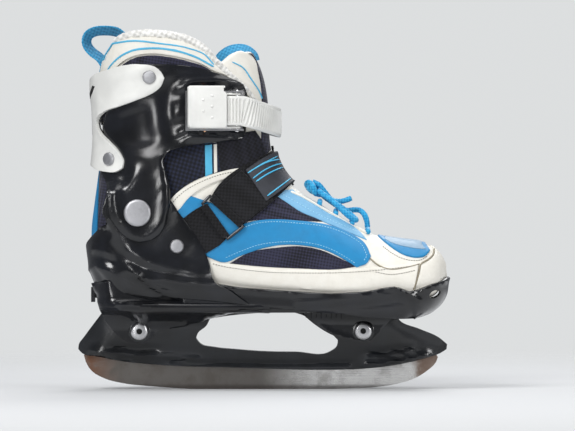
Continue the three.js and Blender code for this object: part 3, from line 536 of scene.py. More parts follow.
def moulded(name, dark, light, rough=0.3, grain=0.25, coat=0.0):
    """Moulded plastic: a fine eggshell grain, cloudy gloss and small rubs."""
    m = Made(name)
    cloud = m.noise(38, 4)
    fine = m.noise(1900, 2)
    rub = m.noise(260, 5, 0.7, m.scaled(1, 1, 3.0)).ramp(0.6, 0.78)
    colour = m.mix(cloud.ramp(0.35, 0.7), dark, light)
    colour = m.mix(rub * 0.35, colour, tuple(min(1, c * 1.9 + 0.012) for c in light))
    gloss = cloud * 0.14 + rub * 0.16 + (rough - 0.07)
    normal = m.bump(fine, grain, 0.00012, m.bump(cloud, 0.04, 0.0006))
    return m.finish(colour, gloss, normal, Specular_IOR_Level=0.5, Coat_Weight=coat,
                    Coat_Roughness=0.2)


def hide(name, tone, warm, rough=0.5, grain=1.0):
    """Coated synthetic leather: pebbled grain, soft creases and a little dirt."""
    m = Made(name)
    pebble = m.cells(1150, "SMOOTH_F1")
    crease = m.noise(170, 5, 0.65)
    dirt = m.noise(46, 5, 0.6).ramp(0.48, 0.75)
    colour = m.mix(crease.ramp(0.3, 0.8) * 0.5, tone, warm)
    colour = m.mix(dirt * 0.3, colour, tuple(c * 0.78 for c in warm))
    normal = m.bump(pebble, 0.16 * grain, 0.0002, m.bump(crease, 0.16, 0.0006))
    return m.finish(colour, dirt * 0.15 + crease * 0.12 + (rough - 0.06), normal,
                    Specular_IOR_Level=0.42)


def cloth(name, dark, light, pitch, rough=0.85, depth=0.5, sheen=0.2, angle=0.0):
    """A woven cloth: warp and weft on the side view, with fuzz between."""
    m = Made(name)
    turned = m.node("ShaderNodeMapping", {}, Vector=m.place, Rotation=(0, angle, 0))
    warp = m.bands("X", 314 / pitch / 6.283 * 2, turned)
    weft = m.bands("Z", 314 / pitch / 6.283 * 2, turned)
    side = m.bands("Y", 314 / pitch / 6.283 * 2, turned)
    weave = (warp * weft + (1 - warp) * (1 - weft)) * 0.7 + side * 0.3
    fuzz = m.noise(900, 4)
    tone = (weave * 0.75 + fuzz * 0.35).ramp(0.2, 0.85)
    colour = m.mix(tone, dark, light)
    patch = m.noise(60, 3).ramp(0.35, 0.75)
    colour = m.mix(patch * 0.25, colour, tuple(c * 0.7 for c in dark))
    normal = m.bump(weave + fuzz * 0.5, depth, 0.00035)
    return m.finish(colour, rough, normal, Sheen_Weight=sheen, Specular_IOR_Level=0.25)


def metal(name, tone, rough, brushed=(40, 40, 900), stain=None, wear=0.25):
    m = Made(name)
    lines = m.noise(1.0, 4, 0.6, m.scaled(*brushed))
    blot = m.noise(95, 5, 0.65)
    colour = m.mix(blot.ramp(0.35, 0.75), tone, tuple(c * 0.72 for c in tone))
    if stain:
        colour = m.mix(blot.ramp(0.52, 0.72) * wear, colour, stain)
    gloss = lines * 0.16 + blot * 0.14 + (rough - 0.1)
    return m.finish(colour, gloss, m.bump(lines, 0.12, 0.0002), Metallic=1.0)


BLACK = moulded("black shell plastic", srgb("08090c"), srgb("14161c"), 0.2, 0.12, 0.3)
BLACK_SATIN = moulded("black holder plastic", srgb("090b0e"), srgb("171a1f"), 0.22, 0.25, 0.2)
WHITE = moulded("white plastic", srgb("dcdcd8"), srgb("e9e9e5"), 0.36, 0.2)
GREY_WELL = moulded("grey recess plastic", srgb("2a2d33"), srgb("3c4048"), 0.5, 0.5)
CREAM = hide("cream white upper", srgb("ece9e0"), srgb("dfdace"), 0.5)
BLUE_HIDE = hide("blue overlay", srgb("1f86bd"), srgb("1c78ab"), 0.42, 0.8)
PALE_BLUE = hide("pale blue overlay", srgb("78b0d4"), srgb("66a2ca"), 0.45, 0.8)
GREY_BLUE = hide("grey blue badge", srgb("7f9db4"), srgb("5f86a6"), 0.42, 0.8)
BLACK_HIDE = cloth("black overlay", srgb("0c0c10"), srgb("24242f"), 1.1, 0.7, 0.9, 0.1, 0.3)
PIPING = hide("light blue piping", srgb("57b6dc"), srgb("3f9fcb"), 0.4, 0.6)
MESH_CLOTH = cloth("black air mesh", srgb("111118"), srgb("34344a"), 1.0, 0.8, 0.8, 0.2, 0.6)
QUARTER_CLOTH = cloth("blue black mesh", srgb("0d0e15"), srgb("272d44"), 1.3, 0.8, 0.8, 0.2, 0.5)
TERRY = cloth("white pile trim", srgb("c9c8c4"), srgb("f5f4f0"), 1.6, 0.95, 1.0, 0.6, 0.3)
LINING = cloth("dark lining", srgb("1c1c24"), srgb("43434f"), 1.4, 0.9, 0.7, 0.4)
BLACK_WEBBING = cloth("black webbing", srgb("060607"), srgb("1d1d21"), 1.1, 0.8, 0.9, 0.15, 0.7)
BLUE_WEBBING = cloth("blue webbing", srgb("1478a8"), srgb("3fa2cf"), 1.0, 0.7, 0.7, 0.25, 0.4)
RUBBER = moulded("patch rubber", srgb("26282e"), srgb("3a3d45"), 0.55, 0.6)
CYAN_PRINT = moulded("cyan rubber", srgb("3fb0dc"), srgb("62c2e6"), 0.45, 0.4)
THREAD = moulded("stitching thread", srgb("8fd0ec"), srgb("b4e0f2"), 0.6, 0.6)
GREY_THREAD = moulded("grey thread", srgb("67625a"), srgb("7d776c"), 0.7, 0.6)
# painted shade: near-black for sheets and discs set where slots and sockets show shade
SLOT_SHADOW = moulded("slot shadow", srgb("0a0a0b"), srgb("151517"), 0.8, 0.2)
# painted shade: a darkened cream for the strips along the seam grooves
SEAM_SHADE = moulded("seam groove shade", srgb("8a8270"), srgb("a39a86"), 0.7, 0.6)


def blade_metal():
    """Worn steel: rust at the heel end, dull in the middle, brown at its tip; towards the toe it is smoother
    and a painted reflection brightens its colour.
    """
    m = Made("worn blade steel")
    lines = m.noise(1.0, 4, 0.6, m.scaled(25, 60, 900))
    blot = m.noise(70, 5, 0.65)
    along, up = m.axis("X"), m.axis("Z")
    # how far along the blade, blotched: it places the rust, the brown tip and the painted reflection
    worn = blot * 0.05 + along
    # painted reflection: the colour turns bright towards the toe, and the same mask makes the toe smoother
    polish_and_painted_reflection = (worn - 0.02).ramp(0.0, 0.05)
    colour = m.mix(polish_and_painted_reflection, (0.16, 0.15, 0.14), (0.8, 0.79, 0.77))
    mottled = m.mix(blot.ramp(0.4, 0.7), colour, (0.1, 0.085, 0.07))
    colour = m.mix(0.45, colour, mottled)
    rust = (0.02 - worn * 1.0).ramp(0.095, 0.135) * blot.ramp(0.25, 0.6)
    colour = m.mix(rust, colour, (0.2, 0.075, 0.03))
    tip = (worn).ramp(0.128, 0.15) * 0.8
    colour = m.mix(tip, colour, (0.14, 0.07, 0.035))
    ground = (0.0045 - up).ramp(0.0, 0.003)
    colour = m.mix(ground * 0.7, colour, (0.07, 0.06, 0.055))
    gloss = lines * 0.18 + rust * 0.4 + tip * 0.3 + (0.24 - polish_and_painted_reflection * 0.08)
    return m.finish(colour, gloss, m.bump(lines, 0.12, 0.0002), Metallic=1.0)


BLADE_STEEL = blade_metal()
STEEL = metal("polished steel", (0.62, 0.62, 0.63), 0.28)
RIVET_METAL = metal("rivet aluminium", (0.52, 0.52, 0.54), 0.42, (500, 500, 500))
DARK_WIRE = metal("dark wire", (0.1, 0.1, 0.105), 0.3)
COPPER = metal("copper", (0.62, 0.36, 0.22), 0.35)
LACE = cloth("lace", srgb("0c84bd"), srgb("3aaede"), 0.9, 0.5, 0.8, 0.15, 0.8)

# ------------------------------------------------------------ the soft boot

TOE_FROM, TOE_TO = (0.02, 0, 0.1), (0.1, 0, 0.1)
TOE = ("skate", "toe", TOE_FROM, TOE_TO)
PIVOT = (-91, 130.2)
LEAN = math.radians(27.5)  # middle of the soft wedge between the lower boot and the shaft


def wedge_point(out, up):
    x = PIVOT[0] + out * math.cos(LEAN) - up * math.sin(LEAN)
    z = PIVOT[1] + out * math.sin(LEAN) + up * math.cos(LEAN)
    return (x * MM, 0, z * MM)


ANKLE = ("skate", "cuff", wedge_point(60, -14), wedge_point(60, 14))


def both_sides(name, outline, material, body, slot, low, high, form=BOOT, blend=None, **more):
    """The same panel on the outer and the inner side of the foot."""
    made = []
    for label, side in (("outer", OUTER), ("inner", INNER)):
        layout = laid(outline, OUTER, form)
        if side == INNER:
            layout = mirrored(layout)
        made.append(piece(f"{name}_{label}", wrapped(layout, low, high, form, **more), material,
                          body, blend=blend))
    return made


def oval(x, z, a, b, tilt=0, count=48):
    t = math.radians(tilt)
    ring = []
    for i in range(count):
        p, q = a * math.cos(i / count * 2 * math.pi), b * math.sin(i / count * 2 * math.pi)
        ring.append((x + p * math.cos(t) - q * math.sin(t), z + p * math.sin(t) + q * math.cos(t)))
    return ring


def rect(s0, s1, t0, t1, step=3.0):
    """A rectangle on the flat layout, with points along its edges."""
    a = [(s, t0) for s in np.arange(s0, s1, step)]
    b = [(s1, t) for t in np.arange(t0, t1, step)]
    c = [(s, t1) for s in np.arange(s1, s0, -step)]
    d = [(s0, t) for t in np.arange(t1, t0, -step)]
    return [(float(s), float(t)) for s, t in a + b + c + d]


# The padded upper in three skins: the sliding toe, the lower boot, and the shaft that leans.
NECK = 9.0  # ring where the fabric over the forefoot meets that of the ankle
LOW_SIDE = math.radians(158)  # how far round the skins reach under the foot
SKIN = 4.6

COLLAR_LINE = [
    (-114, 246), (-111.5, 252), (-106.6, 258.6), (-98, 261.4), (-90.3, 262.3), (-71.8, 261.6),
    (-53.3, 257.5), (-42.2, 250.9), (-34, 242), (-24, 232.5), (-12, 222), (-4, 212),
]


def make_forefoot():
    """Closed skin of the forefoot, its nose rounded over the end ring."""
    start, end = along_of(0.35), along_of(NECK + 1.2)
    outline = rect(start, end, -LOW_SIDE * GIRTH, LOW_SIDE * GIRTH, 3.0)
    return wrapped(outline, -SKIN, 0, BOOT, edge=2.0, grid=2.6)


def round_at(along, y):
    """How far round the layout a given half width lies, in front of the waist."""
    half = float(np.interp(ring_of(along), np.arange(LAST + 1), BOOT_HALF))
    return math.asin(min(1, (y / half) ** (TOP_POWER / 2))) * GIRTH


THROAT = 21.0  # half width of the opening that the tongue fills
THROAT_RING = 14.0


def make_ankle():
    """The ankle and shaft: closed below the throat, open above it, up to the collar's edge."""
    collar = laid(curve(COLLAR_LINE, False, 2.5), OUTER)[::-1]
    top = collar[0][0]
    base = along_of(THROAT_RING)
    slit = [(s, -round_at(s, THROAT)) for s in np.arange(base, top - 1, 3.0)]
    turn = 2 * math.pi * GIRTH
    low = [(along_of(NECK), -turn + t) for t in np.arange(0.2, turn - 0.2, 3.0)]
    start = [(along_of(NECK), -0.2)]
    rise = [(s, -0.2) for s in np.arange(along_of(NECK) + 3, base - 1, 3.0)]
    cross = [(base, t) for t in np.arange(-2.5, slit[0][1], -3.0)]
    outer = start + rise + cross + slit + collar
    inner = [(s, -turn - t) for s, t in outer]
    outline = outer + inner[::-1][:-1] + low[:-1]
    return wrapped(outline, -SKIN, 0, BOOT, edge=2.2, grid=2.8)


forefoot = piece("forefoot_upper", make_forefoot(), CREAM, "skate", blend=TOE,
                 replaces=["boot_lower", "boot_toe"])
ankle = piece("ankle_upper", make_ankle(), CREAM, "skate", blend=ANKLE,
              replaces=["boot_shaft"])

# Panels sewn on the upper, from the deepest layer to the top one. Side-view drawing units.
SWOOSH = [
    (255, 221), (300, 221), (330, 226), (350, 234), (365, 245), (370, 256), (367, 262), (356, 267),
    (345, 260), (325, 250), (300, 245), (280, 245), (260, 249), (240, 256), (225, 262), (212, 258),
    (204, 254), (212, 246), (232, 228),
]
BAND_MESH = [
    (230, 263), (250, 252), (275, 247.5), (300, 246), (320, 249.5), (340, 258), (356, 266),
    (340, 268.5), (300, 268), (260, 266),
]
INSTEP_MESH = [
    (243, 222), (236, 213), (252, 200), (278, 197), (292, 205), (310, 215), (330, 222), (300, 221),
    (255, 220.5),
]
EYESTAY = [
    (276, 196), (284, 191), (292, 190), (300, 197), (315, 206), (330, 215), (348, 224), (360, 233),
    (366, 240), (356, 236), (343, 230.5), (330, 225), (315, 218.5), (300, 212), (288, 204),
]
MUDGUARD = [
    (205, 262), (225, 263), (240, 265), (270, 268.6), (300, 269.4), (340, 269), (375, 267),
    (400, 264.5), (417, 263), (416, 272), (414, 282), (410, 296), (380, 300), (330, 301), (270, 300),
    (232, 292), (212, 280),
]
VAMP_DIVIDE = [
    (370, 256), (378, 262), (392, 266), (410, 267), (418, 263), (424, 258), (431, 253), (432, 250),
    (430, 244.5),
]
BADGE = [
    (378, 236.5), (395, 236), (413, 239), (425, 244.5), (429, 251), (424, 256), (415, 257.5),
    (405, 255.5), (393, 249), (384, 242),
]
BADGE_TOP = [
    (384, 240.5), (396, 240), (411, 242.5), (421, 246), (424.5, 250.5), (417, 250), (407, 248.5),
    (396, 246), (389, 243.5),
]
TOE_CAP = [
    (432, 246.5), (433.5, 250), (432, 256), (426, 261.5), (419.5, 265), (418.5, 271), (415.5, 281),
    (412.5, 297),
]
HEEL_PANEL = [
    (88, 158), (104, 158), (112, 170), (115, 200), (114, 240), (112, 262), (88, 262),
]
QUARTER = [
    (163, 146), (180, 147), (206, 144), (226, 140), (244, 138), (246, 152), (244, 168), (222, 172),
    (200, 179), (184, 188), (172, 199), (160, 206),
]
BLACK_FRONT = [
    (217, 140), (240, 134), (255, 131), (262, 142), (265, 156), (262, 166), (243, 169), (221, 172),
]
CURVED_TRIM = [
    (168, 206), (173, 198), (184, 188.5), (200, 179.5), (220, 172.5), (243, 168.5), (256, 170),
    (252, 177), (243, 176), (222, 180.5), (204, 188), (190, 198), (180, 210), (172, 216),
]
LOWER_BLUE = [(176, 206), (190, 195.5), (206, 201), (226, 209), (244, 223), (232, 233), (214, 247),
              (204, 254), (188, 228), (177, 214)]
PIPE_STRIP = [(205.5, 146), (212.5, 145), (213, 174), (206, 177)]
PALE_STRIP = [(214.2, 145), (217.4, 144.5), (217.8, 172.5), (214.6, 173.5)]
COLLAR_BAND_EDGE = [(99, 92), (104, 74), (115, 53), (135, 49), (150, 48), (170, 49.5), (195, 57.5),
                    (214, 68)]


def panel(name, drawing, material, low, high, slot="boot_foam", blend=TOE, step=2.2, **more):
    outline = curve(side_view(drawing), True, step)
    return both_sides(name, outline, material, "skate", slot, low, high, BOOT, blend, **more)


def over_front(name, drawing, material, low, high, body="skate", blend=TOE, step=2.2, **more):
    """A panel over the foot's front line, drawn on the outer side from one end to the other."""
    line = laid(curve(side_view(drawing), False, step), OUTER)
    return piece(name, wrapped(across_front(line), low, high, BOOT, **more), material, body,
                 blend=blend)


panel("side_mesh", BAND_MESH, MESH_CLOTH, -0.5, 0.45, edge=0.3)
panel("instep_mesh", INSTEP_MESH, MESH_CLOTH, -0.5, 0.5, edge=0.3)
panel("blue_swoosh", SWOOSH, BLUE_HIDE, -0.5, 1.15, edge=0.6)
panel("eyestay", EYESTAY, PALE_BLUE, -0.5, 1.0, edge=0.5)


def under_shell(height):
    """Presses a panel flat where the toe shell covers it."""
    rim_x, rim_z = np.array(side_view([(180, 281.5), (216, 282.5), (240, 286.5), (290, 290),
                                       (330, 292.5), (365, 290.5), (393, 285.5), (408, 290.5),
                                       (430, 284), (449, 277)])).T

    def relief(x, z, y, co):
        return -height * step_up(np.interp(x, rim_x, rim_z) + 2.2 - z, 2.0)
    return relief


panel("mudguard", MUDGUARD, CREAM, -0.6, 1.1, edge=0.6, relief=under_shell(1.3))
panel("quarter_mesh", QUARTER, QUARTER_CLOTH, -0.5, 0.5, blend=ANKLE, edge=0.3)
panel("black_front", BLACK_FRONT, BLACK_HIDE, -0.5, 1.0, blend=ANKLE, edge=0.5)
panel("curved_trim", CURVED_TRIM, CREAM, -0.5, 1.7, blend=ANKLE, edge=0.8)
panel("blue_patch", LOWER_BLUE, BLUE_HIDE, -0.5, 1.2, blend=ANKLE, edge=0.6)
panel("pipe_strip", PIPE_STRIP, PIPING, -0.5, 1.3, blend=ANKLE, edge=0.5)
panel("pale_strip", PALE_STRIP, CREAM, -0.5, 1.1, blend=ANKLE, edge=0.4)


def make_toe_cap():
    """The cap over the nose of the boot, parted from the upper by a rounded groove."""
    start = along_of(0.35)
    edge = laid(curve(side_view(TOE_CAP), False, 2.2), OUTER)
    edge = [(edge[0][0] + 2.0, -0.3)] + edge
    outer = edge + [(edge[-1][0] - 6, -LOW_SIDE * GIRTH), (start, -LOW_SIDE * GIRTH)]
    side = [(start, t) for t in np.arange(-LOW_SIDE * GIRTH + 3, 0, 3.0)]
    half = outer + side
    return wrapped(half + [(s, -t) for s, t in half[::-1] if t < -0.31], -0.6, 1.2, BOOT,
                   under_shell(1.5), 0.9, 2.2, segments=3)


piece("toe_cap", make_toe_cap(), CREAM, "skate", blend=TOE)


nose = bmesh.new()
bmesh.ops.create_uvsphere(nose, u_segments=32, v_segments=20, radius=1)
bmesh.ops.scale(nose, vec=(9.5, 17, 9.4), verts=nose.verts)
bmesh.ops.translate(nose, vec=(127.4, 0, 85.0), verts=nose.verts)
piece("toe_nose", nose, CREAM, "toe")
badge_line = laid(curve(side_view(BADGE[3:] + BADGE[:1]), False, 2.0), OUTER)
badge_front = (badge_line[0][0], -0.2)
badge_back = (badge_line[-1][0], -0.2)
piece("toe_badge", wrapped(across_front([badge_front] + badge_line + [badge_back]), -0.4, 1.3, BOOT,
                           edge=0.6, grid=2.2), BLUE_HIDE, "skate", blend=TOE)

# ------------------------------------------------------------ hard shells

WALL = 2.4
TOE_OUT, CUP_OUT = 2.9, 5.6
CUFF_IN, CUFF_OUT = 3.2, 5.6
BRACE_IN, BRACE_OUT = 5.9, 8.3
PAD_R = 24.0


def arc(centre, radius, start, end, count):
    angles = np.radians(np.linspace(start, end, count))
    return [(centre[0] + radius * math.cos(a), centre[1] + radius * math.sin(a)) for a in angles]


def soft(value, start, end):
    return step_up(value - start, end - start) if end > start else 1 - step_up(value - end, start - end)


def cut_away(obj, *tools):
    """Cuts closed shapes out of a piece, and removes them."""
    for tool in tools:
        cutter = bpy.data.objects.new("cutter", tool)
        bpy.context.scene.collection.objects.link(cutter)
        mod = obj.modifiers.new("cut", "BOOLEAN")
        mod.operation, mod.solver, mod.object = "DIFFERENCE", "EXACT", cutter
        done = bpy.data.meshes.new_from_object(
            obj.evaluated_get(bpy.context.evaluated_depsgraph_get()))
        obj.modifiers.clear()
        old, obj.data = obj.data, done
        bpy.data.meshes.remove(old)
        bpy.data.objects.remove(cutter)
        bpy.data.meshes.remove(tool)
    smooth(obj.data)
    return obj


def prism(outline, y0, y1):
    """A closed side-view outline given depth, as a mesh in metres."""
    bm = slab(outline, y0, y1)
    bmesh.ops.scale(bm, vec=(MM, MM, MM), verts=bm.verts)
    mesh = bpy.data.meshes.new("prism")
    bm.to_mesh(mesh)
    bm.free()
    return mesh


def slab(outline, y0, y1, bevel=0.0, segments=2, grid=0.0):
    """A plate whose outline is seen from the side, with rounded rims."""
    bm = flat_slab([(x, z) for x, z in outline], 0, y1 - y0, bevel, segments, grid, bevel)
    for v in bm.verts:
        v.co = Vector((v.co.x, y1 - v.co.z, v.co.y))
    bmesh.ops.recalc_face_normals(bm, faces=bm.faces)
    return bm


def carved(outline, half, grid=2.5, bevel=0.9, segments=2):
    """A block whose outline is seen from the side and whose half width changes from place to place."""
    bm = slab(outline, -1, 1, 0, 1, grid)
    co = np.array([v.co for v in bm.verts], float)
    wide = half(co[:, 0], co[:, 2])
    for v, w in zip(bm.verts, wide):
        v.co.y *= w
    if bevel:
        bm.normal_update()
        rim = [e for e in bm.edges if len(e.link_faces) == 2
               and e.calc_face_angle(0) > math.radians(50)]
        bmesh.ops.bevel(bm, geom=rim, offset=bevel, segments=segments, profile=0.5,
                        affect="EDGES", clamp_overlap=True, material=-1)
    return bm


HEEL_TOP = [(-122.5, 110.5), (-119.9, 115.4), (-117.7, 118.4), (-112.5, 121.4), (-112.5, 124)]
HEEL_FRONT = [
    (-67, 140.2), (-62.5, 133.5), (-37.6, 91), (-36.3, 84.4), (-33.3, 79.2), (-25.2, 75.5),
    (-12.6, 68.8), (0, 64.6), (5.9, 62.6),
]
SWEEP = side_view([(97, 236), (112, 235), (150, 258), (182, 266), (216, 272)])
LOWER_SWEEP = side_view([(92, 268), (112, 268), (140, 275), (180, 281), (222, 284)])
MIDDLE_SWEEP = side_view([(97, 247), (108, 250), (130, 265), (156, 286), (176, 294)])
DARK_WELL = side_view([(106, 250), (120, 261), (150, 281), (166, 291), (158, 295), (140, 291),
                       (116, 274), (107, 262)])
REAR_WELL = side_view([(97, 262), (104, 268), (118, 288), (119, 299), (108, 296), (100, 280)])


def heel_relief(x, z, y, co):
    edge = np.interp(x, *np.array(SWEEP).T)
    low_edge = np.interp(x, *np.array(LOWER_SWEEP).T)
    bulge = 2.9 * step_up(edge + 2.5 - z, 7.0)
    flute = ridge(x, z, SWEEP, 4.4, 1.3) + ridge(x, z, LOWER_SWEEP, 4.2, 1.2)
    flute += ridge(x, z, MIDDLE_SWEEP, 3.6, 1.4)
    hollow = -2.2 * step_up(edge - 3 - z, 6) * step_up(z - low_edge - 1, 6) * soft(x, -120, -104)
    rim = ridge(x, z, [(-65.5, 137), (-41, 94.5), (-38, 86)], 2.6, 0.8)
    well = field(x, z, DARK_WELL, -1.3, 3.2) + field(x, z, REAR_WELL, -1.6, 3.2)
    foot = 1.2 * step_up(66.5 - z, 2.5)
    return bulge + flute + hollow + rim + well + foot


def hinge_pad(reach):
    """Presses the shell to the flat pad round the pivot."""
    def after(q, height):
        d = np.hypot(q[:, 0] - PIVOT[0], q[:, 2] - PIVOT[1])
        w = 1 - soft(d, PAD_R - 1.5, PAD_R + 2.0)
        w = np.maximum(w, soft(q[:, 2], 118, 124) * (1 - soft(q[:, 0], -66, -62)))
        y = np.sign(q[:, 1]) * (reach - (TOE_OUT - height))
        q[:, 1] = np.where(np.abs(q[:, 1]) > 15, q[:, 1] * (1 - w) + y * w, q[:, 1])
        return q
    return after


def make_heel_cup():
    top = HEEL_TOP + arc(PIVOT, PAD_R, 188, 52, 16)[1:] + HEEL_FRONT
    under = [(x, 63.6) for x in range(-2, -108, -6)] + [(-113, 66), (-117.5, 71)]
    line = laid(curve(top, False, 2.6), OUTER, SHELL) + laid(under, OUTER, SHELL)
    back = -math.pi * GIRTH
    line = [(along_of(15.35), back + 0.2)] + line + [(along_of(13.4), back + 0.2)]
    return wrapped(across_back(line), 0.5, TOE_OUT, SHELL, heel_relief, 0.7, 1.9,
                   hinge_pad(39.6))


piece("heel_cup", soften(make_heel_cup()), BLACK, "skate",
             replaces=["heel_shell"], angle=50)

BASE_LINE = side_view([
    (92, 283), (94, 288), (98, 300), (102, 312), (107, 321), (112, 328), (118, 335), (125, 340),
    (133, 343), (140, 344), (147, 342), (153, 337), (158, 331), (166, 329), (185, 326), (200, 322),
    (221, 316), (240, 312), (262, 311.5), (270, 311), (270, 306), (262, 303), (245, 296),
    (228, 288), (214, 281), (170, 280), (120, 280),
])
BASE_CREASE = side_view([(106, 309), (127, 311), (150, 325), (160, 327), (200, 321), (240, 311)])
BASE_LIP = side_view([(100, 303), (127, 305), (180, 306.5), (230, 307), (270, 308)])


def base_half(x, z):
    body = np.interp(z, [30, 46, 51, 55, 58.5, 62, 63.6, 66, 86],
                     [16.5, 16.5, 22, 32, 39.5, 42.6, 41.5, 36, 34])
    body = np.minimum(body, np.interp(x, [-124, -119, -112, -100, 10], [18, 28, 36, 43, 44]))
    crease_z = np.interp(x, *np.array(BASE_CREASE).T)
    under = np.where(x < -20, step_up(crease_z - z, 3.5), 0)
    body = body - under * np.maximum(body - 16.5, 0) * 0.85
    return body + ridge(x, z, BASE_LIP, 2.0, 0.9) + ridge(x, z, BASE_CREASE, 1.8, 0.8)


piece("heel_base", soften(carved(curve(BASE_LINE, True, 2.2), base_half, 2.0, 0.8)), BLACK, "skate",
      angle=50)

FRONT_LUG = side_view([
    (303, 314), (316, 325), (331, 334), (350, 340), (363, 343), (371, 341), (377, 334), (385, 325),
    (392, 317), (396, 311), (300, 311),
])


def lug_half(x, z):
    rim = ridge(x, z, side_view([(306, 315), (331, 333), (350, 339), (363, 341)]), 1.8, 0.6)
    return np.interp(z, [30, 51, 57, 60], [16.5, 16.5, 22, 27]) + rim


piece("front_lug", carved(curve(FRONT_LUG, True, 2.2), lug_half, 2.2, 0.8), BLACK, "skate",
      angle=50)


def make_sole_plate():
    half = [(-112, 18), (-96, 27), (60, 28), (86, 26), (97, 17)]
    outline = curve([(x, y) for x, y in half] + [(x, -y) for x, y in half[::-1]], True, 4, 60)
    bm = flat_slab(outline, 57.0, 62.5, 0.6, 2, 0, 1.2)
    return bm


piece("sole_plate", make_sole_plate(), BLACK_SATIN, "skate")

# The toe shell is a wall that stands on a plan line round the front of the foot.
PLAN = [
    (-58, 39.5), (-30, 40.5), (0, 42.2), (20, 43.8), (40, 45.2), (60, 45.8), (85, 45.9), (100, 45.2),
    (112, 43.4), (121, 39.7), (128.5, 33.2), (134, 24), (137.6, 12.5), (139, 0),
]
RIM = side_view([
    (180, 281.5), (216, 282.5), (240, 286.5), (290, 290), (330, 292.5), (365, 290.5), (385, 286.5),
    (393, 285.5), (400, 287), (408, 290.5), (415, 289.5), (430, 284), (440, 281), (449, 277),
])
FOOT_LINE = side_view([
    (180, 306), (265, 306), (290, 308), (300, 309.5), (340, 313), (365, 317), (385, 318.4), (400, 319),
    (449, 319),
])


class ToeWall:
    """Places on the toe shell: along its plan line, and height. The nose curls in under the foot."""

    def __init__(self):
        half = curve(PLAN, False, 1.0, 70)
        line = np.array([(x, -y) for x, y in half] + [(x, y) for x, y in half[::-1][1:]])
        self.long = np.concatenate([[0], np.cumsum(np.linalg.norm(np.diff(line, axis=0), axis=1))])
        self.line = line
        tangent = np.gradient(line, axis=0)
        tangent /= np.linalg.norm(tangent, axis=1, keepdims=True)
        self.normal = np.stack([tangent[:, 1], -tangent[:, 0]], 1)

    def curl(self, z, nose):
        front = np.interp(z, [50, 51.8, 54, 57, 61.4, 66, 70, 74, 84],
                          [32, 27, 18.5, 12.4, 6.8, 3.6, 1.7, 1.0, 0])
        side = np.interp(z, [48, 51.8, 53.5, 56, 60, 84], [6, 4.6, 2.4, 1.0, 0.2, 0])
        return side + (front - side) * nose

    def look_up(self, s, z):
        x = np.interp(s, self.long, self.line[:, 0])
        y = np.interp(s, self.long, self.line[:, 1])
        nx = np.interp(s, self.long, self.normal[:, 0])
        ny = np.interp(s, self.long, self.normal[:, 1])
        nose = np.clip(nx, 0, 1) ** 0.9
        inward = self.curl(z, nose)
        slope = (self.curl(z + 0.5, nose) - self.curl(z - 0.5, nose))
        p = np.stack([x - nx * inward, y - ny * inward, z], -1)
        n = np.stack([nx, ny, slope], -1)
        return p, n / np.linalg.norm(n, axis=1, keepdims=True)


TOE_WALL = ToeWall()
FLUTE = side_view([(300, 307), (330, 306), (360, 303), (385, 300), (398, 297), (405, 299), (418, 308)])
LIP = side_view([(300, 303), (330, 302), (360, 299.5), (385, 296), (397, 293.5), (407, 295.5), (420, 303)])
NOSE_RIDGE = side_view([(393, 286), (400, 290), (412, 296), (418, 300)])


def toe_relief(x, z, y, co):
    under = -1.1 * step_up(np.interp(x, *np.array(FLUTE).T) - z, 3.0) * (x < 112) * soft(x, 20, 40)
    groove = ridge(x, z, FLUTE, 4.6, -1.3) + ridge(x, z, LIP, 4.4, 0.8)
    rim = 0.8 * (1 - step_up(np.abs(z - np.interp(x, *np.array(RIM).T) + 1.6), 1.8))
    return under + groove + rim + ridge(x, z, NOSE_RIDGE, 2.0, 0.9)


def make_toe_wall():
    middle = TOE_WALL.long[-1] / 2
    outer = np.arange(0, middle, 2.5)
    top, low = [], []
    for s in outer:
        x = float(np.interp(s, TOE_WALL.long, TOE_WALL.line[:, 0]))
        low_x = x
        top.append((s, float(np.interp(x, *np.array(RIM).T))))
        low.append((s, float(np.interp(low_x, *np.array(FOOT_LINE).T))))
    top.append((middle, 83.2))
    low.append((middle, 51.8))
    full = top + [(2 * middle - s, z) for s, z in top[::-1][1:]]
    full += [(2 * middle - s, z) for s, z in low] + [(s, z) for s, z in low[::-1][1:]]
    bm = flat_slab(full, -WALL, 0, 0.6, 2, 1.8, 0.4)
    co = np.array([v.co for v in bm.verts], float)
    p, n = TOE_WALL.look_up(co[:, 0], co[:, 1])
    share = np.clip((co[:, 2] + 0.9) / 0.9, 0, 1)
    height = co[:, 2] + toe_relief(p[:, 0], p[:, 2], p[:, 1], co) * share
    for v, c in zip(bm.verts, p + n * height[:, None]):
        v.co = c
    return bm


toe_wall = piece("toe_wall", soften(make_toe_wall(), 3), BLACK, "toe",
                 replaces=["toe_shell"], angle=50)
WINDOW = (127.3, 70.7, 4.5, 2.7, 25)
cut_away(toe_wall, prism(oval(*WINDOW), -60, -14), prism(oval(*WINDOW), 14, 60))


def make_toe_sole():
    """The floor of the toe shell, under the boot."""
    half = [(x, max(y - 3.5, 0.2)) for x, y in PLAN[:-1]] + [(133.5, 0.2)]
    half = [(x - 9 * max(0, (x - 90) / 44), max(y - 4 * max(0, (x - 90) / 44), 0.2)) for x, y in half]
    line = curve([(x, -y) for x, y in half] + [(x, y) for x, y in half[::-1]], True, 4, 70)
    return flat_slab(line, 59.6, 62.0, 0.4, 1, 0, 0.4)


piece("toe_sole", make_toe_sole(), BLACK_SATIN, "toe")

